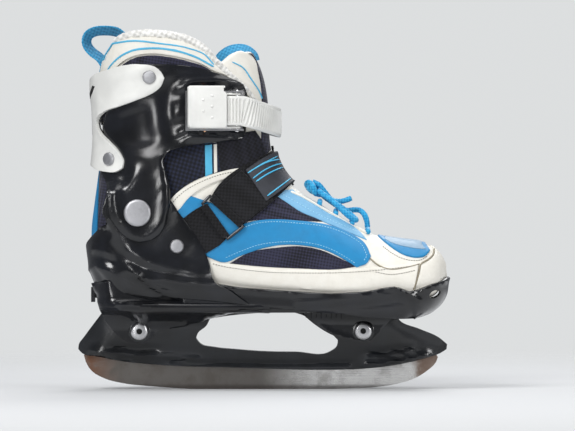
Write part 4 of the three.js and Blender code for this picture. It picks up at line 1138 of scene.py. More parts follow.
# The cuff: two halves that turn on the pivot rivets.
CUFF_LINE = side_view([
    (130, 66), (150, 65.5), (185, 66.5), (200, 69), (215, 74), (230, 80), (240, 86), (243, 91),
    (243.5, 110), (243.5, 131), (243, 136), (240, 139), (225, 142), (200, 145), (182, 148.5),
    (170, 153), (166, 159), (167, 168), (170, 180), (171.5, 192), (171, 206), (169, 215),
    (166, 226), (158, 237), (147, 242), (135, 240.5), (125, 233), (117, 221), (113.5, 208),
    (113, 195), (112, 184), (108, 174), (106, 168), (110, 158), (117, 150), (112, 140), (110, 125),
    (113, 110), (113, 85), (120, 70),
])
LOBE_RIM = side_view([
    (118, 182), (117.5, 196), (118.5, 208), (122, 219), (129, 229), (137, 235.5), (147, 237),
    (155, 232.5), (161.5, 224), (165, 213), (166.5, 200), (165.5, 185), (162, 168), (161, 160),
])
BUCKLE_RIM = side_view([(243, 84.5), (225, 81.5), (190, 82), (182, 92), (181, 112), (184, 128),
                        (192, 137), (220, 138.5), (243, 138)])
CRESCENT = side_view([(160, 76), (176, 78), (178, 95), (176.5, 115), (180, 132), (188, 143),
                      (172, 147), (163, 130), (160, 105)])
POCKET = side_view([(114, 116), (130, 109), (150, 104), (154, 112), (156, 128), (162, 142),
                    (150, 149), (132, 149), (118, 142)])


def cuff_relief(x, z, y, co):
    rims = ridge(x, z, LOBE_RIM, 4.0, 1.1) + ridge(x, z, BUCKLE_RIM, 3.8, 2.2)
    sunk = field(x, z, CRESCENT, -1.4, 5.0) + field(x, z, POCKET, -1.0, 6.0)
    arm = ridge(x, z, side_view([(167, 152), (200, 147), (238, 141.5)]), 3.2, 0.8)
    top = ridge(x, z, side_view([(133, 69.5), (185, 70), (214, 77), (238, 88)]), 2.2, 0.6)
    belly = 0.8 * (1 - step_up(away(x, z, side_view([(135, 88), (150, 84), (165, 80)])), 12))
    return rims + sunk + arm + top + belly


def flat_plate(q, height):
    """Below the bend the cuff is a flat plate beside the heel shell's pads."""
    rear = 1 - step_up(q[:, 0] + 101, 9)
    w = 1 - step_up(q[:, 2] - 154 + 9 * rear, 18 - 7 * rear)
    y = np.sign(q[:, 1]) * (39.9 + (height - CUFF_IN) * 1.25)
    q[:, 1] = q[:, 1] * (1 - w) + y * w
    return q


for label, side in (("outer", OUTER), ("inner", INNER)):
    layout = laid(curve(CUFF_LINE, True, 2.6), OUTER, SHELL)
    if side == INNER:
        layout = mirrored(layout)
    piece(f"cuff_half_{label}",
          soften(wrapped(layout, CUFF_IN, CUFF_OUT, SHELL, cuff_relief, 0.8, 1.8, flat_plate)), BLACK,
          "cuff", replaces=[f"cuff_{label}"], angle=50)

# The white brace behind the ankle, riveted to both halves of the cuff.
BRACE_LINE = side_view([
    (101, 82), (103, 78), (115, 72), (130, 67), (145, 66), (157, 68), (163, 73), (166, 79), (163, 87),
    (155, 94), (140, 101), (125, 107), (113, 112), (108, 118), (107, 124), (110, 133), (118, 143),
    (126, 154), (129, 162), (128, 169), (122, 173), (115, 173), (106, 170.5), (100, 165),
])
BRACE_RIVETS = [(-81.4, 230.1), (-107.5, 169.5)]


def brace_relief(x, z, y, co):
    ribs = ridge(x, z, side_view([(110, 82), (128, 76), (148, 71)]), 4.0, 0.9)
    ribs += ridge(x, z, side_view([(101, 96), (100, 112), (103, 135), (112, 152)]), 3.6, 1.1)
    edge = ridge(x, z, side_view([(163, 82), (150, 93), (125, 103), (108, 112), (104, 123),
                                  (108, 137), (124, 158)]), 3.0, 1.1)
    seats = sum(-0.9 * (1 - step_up(np.hypot(x - a, z - b) - 5.4, 1.6)) for a, b in BRACE_RIVETS)
    return ribs + edge + seats


def make_brace():
    line = laid(curve(BRACE_LINE, False, 2.4), OUTER, SHELL)
    back = -math.pi * GIRTH + 0.2
    line = [(along_of(20.15), back)] + line + [(along_of(18.3), back)]
    return wrapped(across_back(line), BRACE_IN, BRACE_OUT, SHELL, brace_relief, 0.9, 2.2,
                   segments=3)


piece("ankle_brace", soften(make_brace()), WHITE, "cuff",
              replaces=["back_brace"], angle=50)
# Near-black sheets of painted shade, set into the brace's face where its two slots are.
SLOTS = [[(103.6, 86), (99.6, 97.5), (101.6, 98.2), (105.6, 86.8)],
         [(98.6, 113), (97.4, 135), (99.8, 135), (101, 113)]]
for label, side in (("outer", OUTER), ("inner", INNER)):
    slots = [laid(curve(side_view(slot), True, 1.4, 70), OUTER, SHELL) for slot in SLOTS]
    piece(f"brace_slot_shadows_{label}",
          join(*[wrapped(mirrored(line) if side == INNER else line, BRACE_OUT - 1.0, BRACE_OUT + 0.12, SHELL,
                         edge=0.1, grid=2) for line in slots]), SLOT_SHADOW, "cuff")

# ------------------------------------------------------------ blade, holder and fittings


def capped(points):
    return curve(side_view(points), True, 2.2)


RUNNER = [(-131.7, 25.2), (-130.2, 20), (-125.8, 13.3), (-116.9, 8.1), (-101.4, 4.1), (-82.9, 2.2),
          (-66, 0.9), (-50, 0), (50, 0), (66, 0.6), (83.6, 1.5), (102.1, 4.4), (113.2, 8.1),
          (122.8, 14.1), (128.8, 20), (130.2, 23.7), (128, 27), (102, 23), (50, 19), (-16, 20.5),
          (-77, 23), (-129, 28)]
piece("runner", slab(curve(RUNNER, True, 3.0, 60), -1.5, 1.5, 0.25, 1), BLADE_STEEL, "skate",
      replaces=["blade"], angle=30)

HOLDER_FOOT = [(-132.5, 26.3), (-122.8, 24.4), (-101.4, 20.4), (-77, 18.1), (-16.3, 15.9),
               (50.3, 14.4), (76.2, 15.2), (102.1, 18.5), (124.3, 24.1), (131.7, 26.6)]
HOLDER_LINE = [
    (-118, 56.7), (-131.7, 38.5), (-135.4, 33.3), (-135.8, 29.6), *HOLDER_FOOT, (136.5, 29.6),
    (136.9, 33.3), (131.7, 37.7), (116.9, 44.4), (102.1, 50.7), (98, 56.7), (24.4, 56.7),
    (30.3, 54.8), (42, 47.5), (51.8, 40.7), (56.2, 36.3), (55.5, 31.8), (50.3, 27.8), (25, 27.6),
    (0, 28.1), (-20, 29.6), (-34.8, 31.1), (-45.9, 34), (-48.8, 37.7), (-47.4, 41.4), (-40.7, 47.4),
    (-38.5, 52.2), (-28, 54), (-16.3, 55.4), (2.2, 56.7),
]
HOLDER_GROOVES = [
    (side_view([(112, 347), (135, 348.5), (158, 348)]), 2.7, -1.7),
    (side_view([(92, 356), (104, 357), (130, 361), (158, 364)]), 2.4, -1.8),
    (side_view([(170, 361), (230, 363.5), (300, 364), (350, 363)]), 2.2, -1.4),
    (side_view([(368, 353), (388, 351), (412, 346.5)]), 3.0, -2.1),
    (side_view([(366, 364), (396, 361.5), (428, 354.5)]), 2.7, 2.1),
    (side_view([(96, 351), (130, 354.5), (165, 356), (200, 358)]), 3.2, 1.5),
    (side_view([(398, 319), (418, 328), (438, 338)]), 3.5, 1.5),
]


def holder_half(x, z):
    plan = np.interp(x, [-136, -118, -100, 92, 112, 137], [3, 9.5, 13, 13, 9.5, 3.4])
    rise = np.interp(z, [12, 17, 24, 33, 45, 57], [4.6, 5.8, 7.4, 10.0, 12.6, 13])
    half = np.minimum(plan, rise)
    for line, width, height in HOLDER_GROOVES:
        half = half + ridge(x, z, line, width, height)
    return half


piece("blade_carrier", soften(carved(curve(HOLDER_LINE, True, 2.4, 50), holder_half, 2.0, 0.8)), BLACK_SATIN,
      "skate", replaces=["blade_holder"], angle=50)


def cap(profile, hex_radius=0.0, sides=48):
    """A turned cap standing on Z 0: its profile is (radius, height) from the middle outwards."""
    bm = bmesh.new()
    verts = [bm.verts.new((r, 0, h)) for r, h in profile]
    edges = [bm.edges.new(pair) for pair in zip(verts, verts[1:])]
    bmesh.ops.spin(bm, geom=verts + edges, cent=(0, 0, 0), axis=(0, 0, 1), angle=2 * math.pi,
                   steps=sides, use_merge=True)
    bmesh.ops.remove_doubles(bm, verts=bm.verts, dist=0.001)
    holes = [e for e in bm.edges if e.is_boundary]
    if holes:
        bmesh.ops.holes_fill(bm, edges=holes, sides=0)
    bmesh.ops.recalc_face_normals(bm, faces=bm.faces)
    if hex_radius:
        recess = bmesh.new()
        bmesh.ops.create_cone(recess, cap_ends=True, segments=6, radius1=hex_radius,
                              radius2=hex_radius, depth=2.2)
        deep = max(h for _, h in profile)
        bmesh.ops.translate(recess, vec=(0, 0, deep - 0.5), verts=recess.verts)
        body, tool = bpy.data.meshes.new("cap"), bpy.data.meshes.new("recess")
        bm.to_mesh(body)
        recess.to_mesh(tool)
        recess.free()
        holder = bpy.data.objects.new("cap", body)
        bpy.context.scene.collection.objects.link(holder)
        cut_away(holder, tool)
        bm.clear()
        bm.from_mesh(holder.data)
        bpy.data.objects.remove(holder)
    return bm


def seated(bm, place, outward):
    """Stands a cap at a place, facing outward."""
    turn = Vector(outward).to_track_quat("Z", "Y").to_matrix().to_4x4()
    bmesh.ops.transform(bm, matrix=Matrix.Translation(place) @ turn, verts=bm.verts)
    return bm


def domed(r, high, rim=0.9, disc=0.66):
    """The profile of a rivet: a flat disc with a rounded shoulder."""
    return [(0, high), (r * disc, high * 0.99), (r * (disc + 0.16), high * 0.9),
            (r - rim * 0.5, high * 0.66), (r - 0.1, high * 0.36), (r, 0.25), (r, -1.2), (0, -1.2)]


BUTTON = [(0, 2.3), (4.3, 2.3), (5.3, 2.1), (6.0, 1.6), (6.5, 0.8), (6.6, 0.2), (6.6, -0.6), (0, -0.6)]
for label, x, z in (("rear", -90.3, 42.9), ("front", 74.7, 43.3)):
    for kind, side in (("bolt", OUTER), ("nut", INNER)):
        piece(f"{label}_{kind}_head",
              seated(cap(BUTTON, 2.5 if kind == "bolt" else 0), (x, side * 16.6, z), (0, side, 0)),
              STEEL, "skate", replaces=[f"{label}_{kind}"], angle=30)
        if kind == "bolt":
            # A dark disc of painted shade at the bottom of the bolt's hex socket.
            floor = cap([(0, 0.9), (2.1, 0.9), (2.1, 0.1), (0, 0.1)], 0, 24)
            piece(f"{label}_bolt_socket_shadow", seated(floor, (x, side * 16.6, z), (0, side, 0)), SLOT_SHADOW,
                  "skate", angle=30)
        washer = cap([(0, 0.7), (7.6, 0.7), (8.1, 0.45), (8.2, -0.6), (0, -0.6)])
        piece(f"{label}_{kind}_washer", seated(washer, (x, side * 16.1, z), (0, side, 0)),
              BLACK_SATIN, "skate", angle=30)

for label, side in (("outer", OUTER), ("inner", INNER)):
    head = cap([(0, 2.2), (7.4, 2.2), (8.9, 2.05), (9.6, 1.6), (10, 0.9), (10, -0.8), (0, -0.8)], 0, 64)
    piece(f"pivot_cap_{label}", seated(head, (PIVOT[0], side * 43.3, PIVOT[1]), (0, side, 0)),
          RIVET_METAL, "skate", replaces=[f"pivot_rivet_{label}"], angle=30)
    for name, x, z, r, form, high, body, old in (
            ("strap_stud", -62.2, 105.8, 5.2, SHELL, TOE_OUT + 0.2, "skate", f"strap_rivet_{label}"),
            ("brace_stud_upper", *BRACE_RIVETS[0], 5.0, SHELL, BRACE_OUT - 0.4, "cuff",
             f"brace_rivet_upper_{label}"),
            ("brace_stud_lower", *BRACE_RIVETS[1], 5.0, SHELL, BRACE_OUT - 0.4, "cuff",
             f"brace_rivet_lower_{label}")):
        ring, angle = form.seat(x, z, side)
        at, out = form.look_up(ring, angle)
        piece(f"{name}_{label}", seated(cap(domed(r, 2.0)), Vector(at + out * high), out),
              RIVET_METAL, body, replaces=[old], angle=30)

# ------------------------------------------------------------ ribbons: ladder strap and pull loops


def ribbon(path, across, width, thick, long_steps, wide_steps, relief=None, side_round=0.12):
    """A strap along a path. across gives its width direction at each share of the length."""
    path = np.array(path, float)
    long = np.concatenate([[0], np.cumsum(np.linalg.norm(np.diff(path, axis=0), axis=1))])
    bm = bmesh.new()
    bmesh.ops.create_grid(bm, x_segments=long_steps, y_segments=wide_steps, size=1)
    sheet = bm.faces[:]
    bmesh.ops.translate(bm, vec=(0, 0, -1), verts=bm.verts)
    up = bmesh.ops.extrude_face_region(bm, geom=sheet, use_keep_orig=True)["geom"]
    bmesh.ops.translate(bm, vec=(0, 0, 1), verts=[v for v in up if isinstance(v, bmesh.types.BMVert)])
    co = np.array([v.co for v in bm.verts], float)
    share, v, top = (co[:, 0] + 1) / 2, co[:, 1], co[:, 2] > -0.5
    s = share * long[-1]

    def at(values, where):
        return np.stack([np.interp(where, long, values[:, k]) for k in range(3)], -1)

    tangent = np.gradient(path, long, axis=0)
    t = at(tangent, s)
    t /= np.linalg.norm(t, axis=1, keepdims=True)
    a = across(share)
    a = a - t * (a * t).sum(1, keepdims=True)
    a /= np.linalg.norm(a, axis=1, keepdims=True)
    n = np.cross(t, a)
    rim = step_up(np.abs(v) - (1 - side_round), side_round)
    high = np.where(top, 0.5, -0.5) * thick * (1 - 0.7 * rim)
    if relief is not None:
        high = high + relief(s, v * width / 2, long[-1]) * top
    q = at(path, s) + a * (v * width / 2)[:, None] + n * high[:, None]
    for vert, place in zip(bm.verts, q):
        vert.co = place
    bmesh.ops.recalc_face_normals(bm, faces=bm.faces)
    return bm


BUCKLE_TURN = math.radians(8)
BUCKLE_AT = (-41, -42.2, 205)


def at_buckle(along, out, up=0.0):
    """From the buckle's own frame: along the strap, outwards, and up."""
    c, s = math.cos(BUCKLE_TURN), math.sin(BUCKLE_TURN)
    return (BUCKLE_AT[0] + along * c + out * s, BUCKLE_AT[1] + along * s - out * c, BUCKLE_AT[2] + up)


STRAP_PATH = [at_buckle(-12, 7.6)[:2], at_buckle(5, 7.6)[:2], at_buckle(22, 7.6)[:2],
              at_buckle(31, 6.9)[:2], (0.5, -35.5), (7.5, -25), (11.6, -12), (12.8, 0), (11.6, 12),
              (7, 22.5), (0, 30.5), (-9, 35.5), (-19, 39.1), (-29, 41.6), (-41, 43.6)]


def ladder_path():
    return [(x, y, 205 - 0.3 * max(0, x + 14)) for x, y in curve(STRAP_PATH, False, 1.5, 70)]


def ladder_relief(s, across, long):
    toothed = (s > 26) & (s < long - 22) & (np.abs(across) < 8.6)
    rib = 0.5 + 0.5 * np.clip(1.8 * np.cos(s / 2.5 * 2 * math.pi) + 0.3, -1, 1)
    border = 0.55 * step_up(np.abs(across) - 8.6, 0.5)
    return np.where(toothed, 1.15 * rib - 0.35, 0.55 * (np.abs(across) < 8.6)) + border * 0.9


piece("ladder", ribbon(ladder_path(), lambda share: np.tile([0, 0, 1.0], (len(share), 1)), 21.5, 1.9,
                       420, 24, ladder_relief), WHITE, "cuff",
      replaces=["ladder_strap"], angle=40)
piece("ladder_stud", seated(cap(domed(4.5, 1.6)), (-31, 43.4, 199.8), (0.24, 0.97, 0)), RIVET_METAL,
      "cuff", replaces=["ladder_rivet"], angle=30)


def buckle_slab(outline, low, high, edge, under=0.4, relief=None, grid=0.0):
    """A plate in the buckle's frame: its outline is along and up, its heights outwards."""
    bm = flat_slab(outline, low, high, edge, 3, grid, under)
    for v in bm.verts:
        x, z, out = v.co
        lift = relief(x, z) if relief and out > high - 0.7 else 0.0
        v.co = at_buckle(x, out + lift, z)
    return bm


def rounded(x0, x1, z0, z1, r, r_far=None):
    r_far = r if r_far is None else r_far
    corners = [(x1 - r_far, z0 + r_far, r_far, -90), (x1 - r_far, z1 - r_far, r_far, 0),
               (x0 + r, z1 - r, r, 90), (x0 + r, z0 + r, r, 180)]
    return [p for cx, cz, cr, a in corners for p in arc((cx, cz), cr, a, a + 90, 7)]


PIPS = [(204.3, 101.4), (204.3, 112.5), (213.1, 97.2), (213.1, 108), (213.1, 118.8)]
GRIP = -9.4  # along the strap, the bend between the lever's face and its finger grip


def lever_crown(x, z):
    crown = 0.7 * (1 - ((z - 2.7) / 16) ** 2)
    groove = -0.8 * (1 - min(1, abs(x - GRIP) / 1.1))
    lip = 0.9 * min(1, max(0, GRIP - x) / 3)
    return crown + groove + lip


plate_line = (arc((-11, -9.5), 3.6, 180, 270, 7) + arc((12.4, -11.1), 2.0, 270, 360, 6)
              + [(14.4, 12.4), (13.2, 13.6), (12.2, 14.4)] + arc((9.4, 15.5), 2.8, 0, 90, 6)
              + arc((-11, 14.7), 3.6, 90, 180, 7))
lever_parts = [buckle_slab(plate_line, 9.1, 11.4, 1.3, 0.5, lever_crown, 1.6)]
for low in (-13.1, 16.6):
    lever_parts.append(buckle_slab(rounded(-13.4, 13.2, low, low + 1.7, 0.8), 6.0, 9.9, 0.3))
lever_parts.append(buckle_slab(rounded(-14.4, -12.8, -12.2, 17.6, 0.7), 6.6, 9.9, 0.3))
for low in (-13.1, 11.3):
    lever_parts.append(buckle_slab(rounded(9.5, 25.0, low, low + 1.8, 0.8), 1.9, 6.9, 0.8))
    lever_parts.append(buckle_slab(rounded(9.5, 14.3, low, low + 1.8, 0.8), 5.9, 9.9, 0.3))
for px, pz in PIPS:
    x, z = side_view([(px, pz)])[0]
    along, up = (x + 41 - 1.6) / 0.99, z - 205
    place = at_buckle(along, 11.4 + lever_crown(along, up) - 0.15, up)
    dot = cap([(0, 0.75), (0.55, 0.66), (0.95, 0.36), (1.15, 0), (0, 0)], 0, 14)
    lever_parts.append(seated(dot, place, (math.sin(BUCKLE_TURN), -math.cos(BUCKLE_TURN), 0)))
piece("lever", join(*lever_parts), WHITE, "buckle_lever",
      replaces=["buckle_lever"], angle=40)

# ------------------------------------------------------------ instep strap

WEB_LOW, WEB_HIGH = 0.4, 2.1
EDGE_AT = {0.1: (-60.4, 130.5), 0.2: (-57.8, 126.0), 0.75: (-43.1, 101.1), 0.78: (-42.3, 99.7)}


def web_relief(x, z, y, co):
    """Coarse weave: rows of small bumps along the strap and across it."""
    u = (x * 0.76 + z * 0.65)
    v = (-x * 0.65 + z * 0.76)
    bump = np.cos(u * 2 * math.pi / 2.6) * np.cos(v * 2 * math.pi / 2.2)
    return 0.36 * bump


ANCHOR_LINE = [EDGE_AT[0.2], EDGE_AT[0.78], (-28.6, 108.6), (-24.5, 113.4), (-41.1, 136.6),
               (-47.2, 133.6)]
piece("anchor_webbing",
      wrapped(laid(curve(ANCHOR_LINE, True, 1.6), OUTER), WEB_LOW, WEB_HIGH, BOOT, web_relief, 0.5,
              0.8), BLACK_WEBBING, "skate", replaces=["strap_anchor"], angle=60)
outer_band = laid(curve([(15, 181), (-34.4, 146.8), (-38, 140.3), (-15.7, 120), (-9.6, 124.2),
                         (30, 159)], False, 2.0), OUTER)
inner_band = laid(curve([(15, 181), (-34.4, 146.8), EDGE_AT[0.1], EDGE_AT[0.75], (-9.6, 124.2),
                         (30, 159)], False, 2.0), OUTER)
piece("instep_webbing",
      wrapped(outer_band + mirrored(inner_band)[::-1], WEB_LOW, WEB_HIGH, BOOT, web_relief, 0.5, 1.0),
      BLACK_WEBBING, "skate", replaces=["instep_strap"], angle=60)
FOLD = [(-35.2, 143.8), (-12.6, 122.6), (8, 139), (-15.6, 161)]
piece("folded_webbing",
      wrapped(laid(curve(FOLD, True, 1.6), OUTER), WEB_HIGH - 0.3, WEB_HIGH + 1.5, BOOT, web_relief,
              0.6, 0.8), BLACK_WEBBING, "skate", angle=60)


def wrap_bar(a, b, reach):
    """Webbing rolled over one bar of the wire ring."""
    a, b = np.array(a, float), np.array(b, float)
    d = (b - a) / np.linalg.norm(b - a)
    n = np.array([-d[1], d[0]]) * reach
    a, b = a + d * 1.8, b - d * 1.8
    line = laid(curve([tuple(a + n), tuple(a - n), tuple(b - n), tuple(b + n)], True, 1.2), OUTER)
    return wrapped(line, WEB_LOW, 5.0, BOOT, web_relief, 2.0, 0.8, segments=4)


piece("bar_wraps", join(wrap_bar((-43.3, 136.9), (-24.9, 111.3), 2.7),
                        wrap_bar((-38, 142.5), (-13.5, 120.2), 2.7)), BLACK_WEBBING, "skate",
      angle=60)


def tube(points, radius, closed=False, resolution=3):
    data = bpy.data.curves.new("tube", "CURVE")
    data.dimensions, data.bevel_depth = "3D", radius
    data.bevel_resolution, data.use_fill_caps = resolution, True
    line = data.splines.new("POLY")
    line.points.add(len(points) - 1)
    for p, q in zip(line.points, points):
        p.co = (*q, 1)
    line.use_cyclic_u = closed
    obj = bpy.data.objects.new("tube", data)
    bpy.context.scene.collection.objects.link(obj)
    mesh = bpy.data.meshes.new_from_object(obj.evaluated_get(bpy.context.evaluated_depsgraph_get()))
    bm = bmesh.new()
    bm.from_mesh(mesh)
    bpy.data.objects.remove(obj)
    bpy.data.curves.remove(data)
    bpy.data.meshes.remove(mesh)
    return bm


ring_path = []
for x, z in curve([(-43.3, 136.9), (-38, 142.5), (-13.5, 120.2), (-24.9, 111.3)], True, 1.5, 30):
    place, out = BOOT.look_up(*BOOT.seat(x, z, OUTER))
    ring_path.append(tuple(place + out * 3.2))
piece("wire_ring", tube(ring_path, 1.2, True), DARK_WIRE, "skate", replaces=["strap_ring"])

PATCH_LINE = side_view([(244.7, 171), (260, 160), (276.3, 151), (287, 164), (296.8, 179), (281, 191.5),
                        (265.3, 202.7), (254, 186)])


def patch_relief(x, z, y, co):
    rim = 0.35 * (1 - step_up(away(x, z, PATCH_LINE, True), 1.0))
    return rim


piece("grip_patch", wrapped(laid(curve(PATCH_LINE, True, 1.6, 50), OUTER), WEB_HIGH, 4.2, BOOT,
                            patch_relief, 0.7, 1.4), RUBBER, "skate",
      replaces=["strap_patch"])


FRONT_LIMIT = -1.2  # a band stops just short of the foot's front line


def banded(drawing, width, layouts=None, side=OUTER, step=1.5, form=BOOT, taper=True):
    """A narrow band along a line of the side view, as an outline on the layout."""
    line = np.array([p for p in laid(curve(side_view(drawing), False, step), OUTER, form)
                     if p[1] < FRONT_LIMIT])
    t = np.gradient(line, axis=0)
    t /= np.linalg.norm(t, axis=1, keepdims=True)
    n = np.stack([-t[:, 1], t[:, 0]], 1)
    wide = np.full(len(line), width / 2)
    if taper:
        wide[0] = wide[-1] = width * 0.3
    left, right = line + n * wide[:, None], line - n * wide[:, None]
    outline = [tuple(p) for p in left] + [tuple(p) for p in right[::-1]]
    return outline if side == OUTER else mirrored(outline)


STRIPES = [
    [(246.8, 174.5), (262, 164.5), (272, 158.5), (278.5, 154)],
    [(257, 167.6), (266, 163.3), (274, 161.8), (281, 162), (287.5, 164.8)],
    [(251.5, 180), (262, 172), (271, 167.5), (280, 166), (288.5, 167.6)],
    [(254.8, 183), (266, 175.5), (276, 171), (284, 169.5), (291, 171)],
    [(266, 197.8), (280, 187.5), (290, 180), (294.8, 177)],
]
piece("patch_stripes", join(*[wrapped(banded(s, 1.25), 4.0, 4.75, BOOT, edge=0.3, grid=2)
                              for s in STRIPES]), CYAN_PRINT, "skate")

# ------------------------------------------------------------ laces

LACES = {
    "lace_bow": [(42, -4.5, 146.6), (46, -8.5, 143.5), (51.5, -12.5, 139.6), (58, -16, 133.6),
                 (64, -18, 128), (68.3, -16.8, 125.2), (69.3, -13.4, 125.4), (66.5, -11.2, 128.2),
                 (61, -9.8, 132.6), (55, -9.4, 137)],
    "lace_arch": [(41.5, 5, 146.6), (46, 8.5, 142.6), (52, 10.5, 138.2), (58, 11, 134.2),
                  (63, 10.5, 132.2), (68, 9, 132.6), (72.5, 7, 132.2), (75.8, 5.6, 129.2),
                  (77.6, 4.8, 124.4), (78.2, 4.4, 119.6)],
    "lace_end": [(37.5, 0.5, 153.2), (42, 1, 151), (46.5, 1.2, 145.6), (51, 0.8, 140.4),
                 (56, -0.4, 138.8), (61, -1.6, 139.4), (66, -2.8, 141.2)],
}
LACE_R = 2.1


def through(points, step=1.2):
    """A smooth line through points in space."""
    pts = np.array(points, float)
    line = []
    for i in range(len(pts) - 1):
        p0, p1, p2 = pts[max(i - 1, 0)], pts[i], pts[i + 1]
        p3 = pts[min(i + 2, len(pts) - 1)]
        count = max(2, int(np.linalg.norm(p2 - p1) / step))
        for k in range(count):
            w = k / count
            line.append(tuple(0.5 * (2 * p1 + (p2 - p0) * w + (2 * p0 - 5 * p1 + 4 * p2 - p3) * w**2
                                     + (3 * p1 - p0 - 3 * p2 + p3) * w**3)))
    return line + [tuple(pts[-1])]


def braid(bm, path, radius):
    """Raises the crossing strands of a braided lace."""
    pts = np.array(path)
    long = np.concatenate([[0], np.cumsum(np.linalg.norm(np.diff(pts, axis=0), axis=1))])
    for v in bm.verts:
        c = np.array(v.co)
        i = int(np.argmin(((pts - c) ** 2).sum(1)))
        out = c - pts[i]
        reach = np.linalg.norm(out)
        if reach < radius * 0.5:
            continue
        angle = math.atan2(out[2], out[1])
        wave = math.cos(3 * angle + long[i] * 2.4) * math.cos(3 * angle - long[i] * 2.4)
        v.co = Vector(pts[i] + out / reach * (reach + 0.2 * wave))
    return bm


def metres(points):
    return [tuple(c * MM for c in p) for p in points]


for name, points in LACES.items():
    path = through(points, 0.8)
    made = piece(name.replace("lace", "bootlace"), braid(tube(path, LACE_R), path, LACE_R), LACE,
                 "skate", replaces=[name], angle=0)
    metres(path)[0]
    "bare" if name != "lace_arch" else "object"
    metres(path)


def knot_path(turns, wide, high, shift):
    """A loop of lace pulled round the knot."""
    slope = math.radians(-37)
    pts = []
    for k in range(turns):
        a = k / turns * 2 * math.pi
        x, y, z = high * math.cos(a), wide * math.sin(a), 1.6 * math.sin(2 * a) + shift
        pts.append((38 + x * math.cos(slope) - z * math.sin(slope), y,
                    147.6 + x * math.sin(slope) + z * math.cos(slope)))
    return pts


knot = [tube(knot_path(28, 6.2, 4.4, 0.4), 2.2, True), tube(knot_path(28, 4.4, 6.6, 1.0), 2.0, True)]
core = bmesh.new()
bmesh.ops.create_uvsphere(core, u_segments=24, v_segments=14, radius=1)
bmesh.ops.scale(core, vec=(5.4, 5.6, 3.2), verts=core.verts)
bmesh.ops.rotate(core, cent=(0, 0, 0), matrix=Matrix.Rotation(math.radians(37), 3, "Y"),
                 verts=core.verts)
bmesh.ops.translate(core, vec=(37, 0, 147.8), verts=core.verts)
piece("bow_knot", join(*knot, core), LACE, "skate", replaces=["lace_knot"], angle=0)
rows = []
for ring in (5.55, 6.35, 7.15, 7.95):
    across = [tuple(p + n * 1.9) for p, n in
              (BOOT.look_up(ring + 0.12 * math.cos(a * 2.2), a) for a in np.linspace(-0.36, 0.36, 25))]
    rows.append(tube(across, 1.9))
piece("lace_rows", join(*rows), LACE, "skate", angle=0)

# ------------------------------------------------------------ pull loops


def loop_path(points, inset):
    line = np.array(through([(x, 0, z) for x, z in points], 1.5))
    t = np.gradient(line, axis=0)
    t /= np.linalg.norm(t, axis=1, keepdims=True)
    inward = np.cross([0, 1.0, 0], t)
    middle = line.mean(0)
    inward *= np.sign(((middle - line) * inward).sum(1))[:, None]
    return line + inward * inset


def twisted(path, lean):
    """The width direction of a loop that shows its face to the side."""
    t = np.gradient(path, axis=0)
    t /= np.linalg.norm(t, axis=1, keepdims=True)
    flat = np.cross([0, 1.0, 0], t)

    def across(share):
        k = share * (len(path) - 1)
        f = np.stack([np.interp(k, np.arange(len(path)), flat[:, i]) for i in range(3)], -1)
        a = math.radians(lean)
        return f * math.sin(a) + np.array([0, 1.0, 0]) * math.cos(a)
    return across


HEEL_LOOP = [(-118.6, 238), (-122, 243), (-127.3, 247), (-131.6, 252.3), (-132.8, 258.3),
             (-130.2, 264.2), (-123.6, 267.6), (-114.7, 268.2), (-106.6, 267), (-101.5, 263.4)]
TONGUE_LOOP = [(-2.9, 243.4), (-4.4, 248), (-9, 252.4), (-15.5, 254.4), (-24, 253.2), (-31, 248.8),
               (-35.5, 242.8)]
for name, points, inset, lean in (("heel_loop", HEEL_LOOP, 3.0, 32), ("tongue_loop", TONGUE_LOOP, 2.6, 36)):
    path = loop_path(points, inset)

    def loop_weave(s, across, long):
        return 0.12 * np.cos(s * 2 * math.pi / 1.6) - 0.25 * (np.abs(np.abs(across) - 4.9) < 0.35)

    piece(name.replace("loop", "pull"),
          ribbon(path, twisted(path, lean), 12.5, 1.3, 120, 24, loop_weave),
          BLUE_WEBBING, "cuff", replaces=[name])

# ------------------------------------------------------------ tongue, collar, lining and seams


def over_cuff(name, outline, material, low, high, slot="boot_foam", body="cuff", blend=None, **more):
    return piece(name, wrapped(outline, low, high, BOOT, **more), material, body, blend=blend)


def over_tongue(name, drawing, material, low, high, **more):
    """A layer of the tongue: its edge on the outer side, from the top down, and its mirror."""
    line = laid(curve(side_view(drawing), False, 2.5), OUTER)
    line = [(line[0][0], -0.2)] + line + [(line[-1][0], -0.2)]
    return piece(name, wrapped(across_front(line), low, high, BOOT, **more), material, "cuff",
                 blend=ANKLE)


tongue_pad = over_tongue("tongue_pad", [(246, 51.5), (243, 50.5), (236, 53), (226, 61), (213, 73),
                                        (210, 90), (214, 110), (222, 135), (236, 155), (252, 172)],
                         CREAM, -6.4, -0.6, edge=2.0, segments=3, under_edge=1.2)
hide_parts("tongue")
over_tongue("tongue_front", [(249, 54), (251, 54.5), (256, 60), (259, 72), (262, 90), (262.5, 110),
                             (262, 130), (262, 150), (262, 160)], MESH_CLOTH, -1.2, 0.1, edge=0.5)
for k, line in enumerate(([(233, 63), (243, 68), (252, 80), (260, 92), (264, 102)],
                          [(225, 74), (235, 82), (246, 91), (255, 100)])):
    for label, side in (("outer", OUTER), ("inner", INNER)):
        over_cuff(f"tongue_pipe_{k}_{label}", banded(line, 1.0, side=side), PIPING, -1.0, 0.05,
                  edge=0.25, grid=2)


def collar_layout(drop):
    """The collar's edge from the throat round the outer side to the back line, lowered by drop."""
    return laid(curve([(x, z - drop) for x, z in COLLAR_LINE], False, 2.5), OUTER)[::-1]


MESH_TOP = side_view([(214, 74), (205, 68), (190, 63), (170, 58.5), (150, 57), (135, 60), (122, 69),
                      (114, 84), (108, 100)])
COLLAR_DOWN = side_view([(226, 76), (214, 72), (204, 66), (190, 61), (170, 56.5), (150, 55), (134, 58),
                         (120, 67), (111, 82), (104, 100), (98, 120)])


